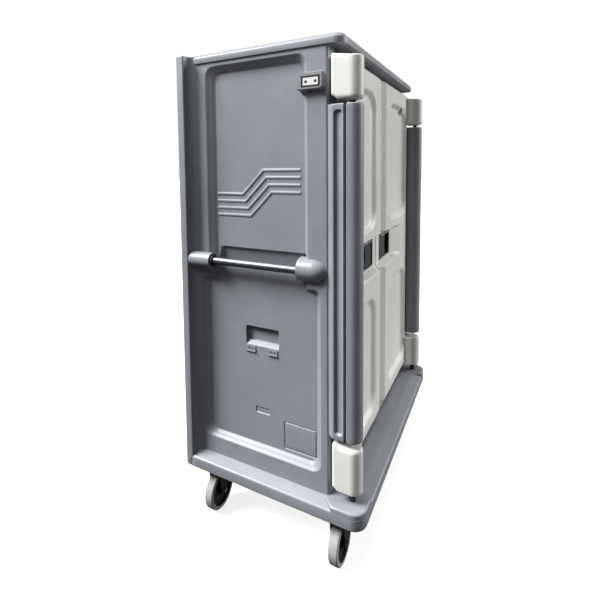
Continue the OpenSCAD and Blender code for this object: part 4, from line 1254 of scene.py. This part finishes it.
@dataclass
class CarriedNodes:
    """Frame nodes whose shape is kept: some get soft edges, and the rest just a finish."""

    # Node, finish, width of the soft edges in millimetres and material slot.
    softened: tuple = (
        ("back_panel", Finishes.SHELL, 2.0, "shell"),
        ("latch_pan_near", Finishes.NYLON, 0.9, "black_plastic"),
        ("latch_pan_far", Finishes.NYLON, 0.9, "black_plastic"),
        ("latch_paddle_near", Finishes.PADDLE, 1.1, "paddle_plastic"),
        ("latch_paddle_far", Finishes.PADDLE, 1.1, "paddle_plastic"),
    )
    # How a node's name starts, and the finish that it gets; the first match counts.
    prefixes: tuple = (
        ("front_frame", Finishes.LINER), ("cabinet_floor", Finishes.LINER),
        ("centre_partition", Finishes.LINER), ("tray_rails", Finishes.SHEET), ("menu_clips", Finishes.SHELL),
        # The magnet's face plates get the white painted reflection in place of bare zinc.
        ("magnet_holders", Finishes.NYLON), ("magnet_plates", Finishes.ENAMEL),
        ("handle_collars", Finishes.SEAL), ("door_gasket", Finishes.SEAL),
        ("hinge_bushes", Finishes.BUSH), ("upper_hinge", Finishes.POWDER), ("lower_hinge", Finishes.POWDER),
        ("fixed_fork", Finishes.POWDER), ("swivel_fork", Finishes.POWDER), ("wheel_", Finishes.NYLON),
        ("tyre_", Finishes.TREAD), ("brake_pedal", Finishes.NYLON), ("", Finishes.ZINC),
    )

    def build(self) -> None:
        """Dresses every node that no other piece stands for."""
        for row in self.softened:
            soften_node(*row)
        for name, node in frame["nodes"].items():
            finish = next(f for prefix, f in self.prefixes if name.startswith(prefix))
            node.data.materials.clear()
            node.data.materials.append(finish.material())
        log.info("carried nodes: %d, of which %d softened", len(frame["nodes"]), len(self.softened))


# ---------------------------------------------------------------- the studio


def hang(data: bpy.types.Light, place: Vector, aim: Vector) -> bpy.types.Object:
    """Hangs a light in its place, facing a point.

    Args:
        data: The light.
        place: Where it hangs, in metres.
        aim: The point that it faces.

    Returns:
        The lamp's object.
    """
    lamp = bpy.data.objects.new(data.name, data)
    lamp.location = place
    lamp.rotation_mode = "QUATERNION"
    lamp.rotation_quaternion = (aim - place).to_track_quat("-Z", "Y")
    bpy.context.scene.collection.objects.link(lamp)
    return lamp


@dataclass(frozen=True)
class FarBox:
    """A large soft box so far off that its light is even.

    Attributes:
        name: The lamp's name.
        toward: Direction from the cart to the lamp.
        strength: Light on a surface that faces it, in watts per square metre.
        spread: Angle in degrees that the soft box fills, which softens the shadows.
    """

    name: str
    toward: tuple[float, float, float]
    strength: float
    spread: float

    def build(self) -> None:
        """Hangs the lamp."""
        data = bpy.data.lights.new(self.name, "SUN")
        data.energy = self.strength
        data.angle = math.radians(self.spread)
        hang(data, Vector(self.toward) * 6.0, Vector())


@dataclass(frozen=True)
class NearBox:
    """A square soft box close to the cart, whose light falls off across it.

    Attributes:
        name: The lamp's name.
        place: Where it stands, in metres.
        aim: The point that it faces.
        power: Its light in watts.
        size: The length of its side in metres.
    """

    name: str
    place: tuple[float, float, float]
    aim: tuple[float, float, float]
    power: float
    size: float

    def build(self) -> None:
        """Stands the soft box in its place, unseen and out of the reflections."""
        data = bpy.data.lights.new(self.name, "AREA")
        data.energy = self.power
        data.size = self.size
        lamp = hang(data, Vector(self.place), Vector(self.aim))
        lamp.visible_camera = False
        lamp.visible_glossy = False


@dataclass(frozen=True)
class Studio:
    """The pale floor, the soft light and the camera that was solved from the photograph.

    Angles are radians, places are metres, and the focal length and the view's middle are pixels of
    the photograph.
    """

    focal_px: float = 424.815
    middle_px: tuple[float, float] = (270.0, 196.5)
    picture_px: float = 600.0
    yaw: float = -0.5064
    pitch: float = 0.0718
    roll: float = 0.01267
    place: tuple[float, float, float] = (0.6725, -1.6913, 1.2662)
    lamps: tuple[FarBox | NearBox, ...] = (
        FarBox("key_box", (-0.57, -0.38, 0.73), 8.5, 26.0),
        FarBox("ceiling_box", (-0.05, 0.0, 1.0), 1.6, 30.0),
        FarBox("door_box", (0.74, 0.56, 0.36), 2.7, 40.0),
        NearBox("high_box", (-0.5, -1.7, 2.6), (-0.1, -0.5, 1.4), 13.0, 0.8),
        NearBox("low_box", (1.6, 0.7, 0.15), (0.3, 0.0, 0.6), 9.0, 0.9),
    )
    room_light: float = 0.10
    floor_reach: float = 30.0

    def build_camera(self) -> None:
        """Sets the camera: yaw and pitch turn the view, roll tilts it, and the shift centres the picture."""
        sy, cy, sp, cp = math.sin(self.yaw), math.cos(self.yaw), math.sin(self.pitch), math.cos(self.pitch)
        ahead = Vector((sy * cp, cy * cp, -sp))
        right = Vector((cy, -sy, 0.0))
        down = ahead.cross(right)
        c, s = math.cos(self.roll), math.sin(self.roll)
        across, below = c * right + s * down, c * down - s * right
        data = bpy.data.cameras.new("photo_camera")
        data.sensor_width = 36.0
        data.lens = self.focal_px * data.sensor_width / self.picture_px
        data.shift_x = (self.picture_px / 2 - self.middle_px[0]) / self.picture_px
        data.shift_y = (self.middle_px[1] - self.picture_px / 2) / self.picture_px
        camera = bpy.data.objects.new("photo_camera", data)
        turn = Matrix((across, -below, -ahead)).transposed()
        camera.matrix_world = Matrix.Translation(self.place) @ turn.to_4x4()
        bpy.context.scene.collection.objects.link(camera)
        bpy.context.scene.camera = camera

    def build_floor(self) -> None:
        """Lays the floor: a light table whose glow stays off the cart, as in a cut-out picture."""
        mesh = bpy.data.meshes.new("studio_floor")
        r = self.floor_reach
        mesh.from_pydata([(-r, -r, 0), (r, -r, 0), (r, r, 0), (-r, r, 0)], [], [(0, 1, 2, 3)])
        glass = Finish("opal_light_table", "#a6a6a6", "#a2a2a2", 0.85, 0.05, glow=0.8)
        mesh.materials.append(glass.material())
        floor = bpy.data.objects.new("studio_floor", mesh)
        floor.visible_diffuse = False
        floor.visible_glossy = False
        bpy.context.scene.collection.objects.link(floor)

    def build_room(self) -> None:
        """Sets the room: the backdrop shows white, while the room's own light on the cart stays dim."""
        world = bpy.data.worlds.new("studio_room")
        world.use_nodes = True
        tree = world.node_tree
        tree.nodes.clear()
        seen = add_node(tree, "ShaderNodeLightPath").outputs["Is Camera Ray"]
        level = add_node(tree, "ShaderNodeMapRange", {0: seen, 1: 0.0, 2: 1.0, 3: self.room_light, 4: 1.0})
        white = linear("#ffffff")
        back = add_node(tree, "ShaderNodeBackground", {"Color": white, "Strength": level.outputs[0]})
        add_node(tree, "ShaderNodeOutputWorld", {"Surface": back.outputs[0]})
        bpy.context.scene.world = world
        bpy.context.scene.view_settings.view_transform = "Standard"

    def build(self) -> None:
        """Sets up the whole studio."""
        self.build_camera()
        self.build_floor()
        self.build_room()
        for lamp in self.lamps:
            lamp.build()
        log.info("studio: %d lamps", len(self.lamps))


def main() -> None:
    """Builds the studio and the cart, piece by piece."""
    logging.basicConfig(level=logging.INFO, format="%(name)s: %(message)s")
    Studio().build()
    for end in End:
        EndWall(end).build()
        DoorLeaf(end).build()
    BaseBumper().build()
    RoofLid().build()
    CarriedNodes().build()


if __name__ == "__main__":
    main()
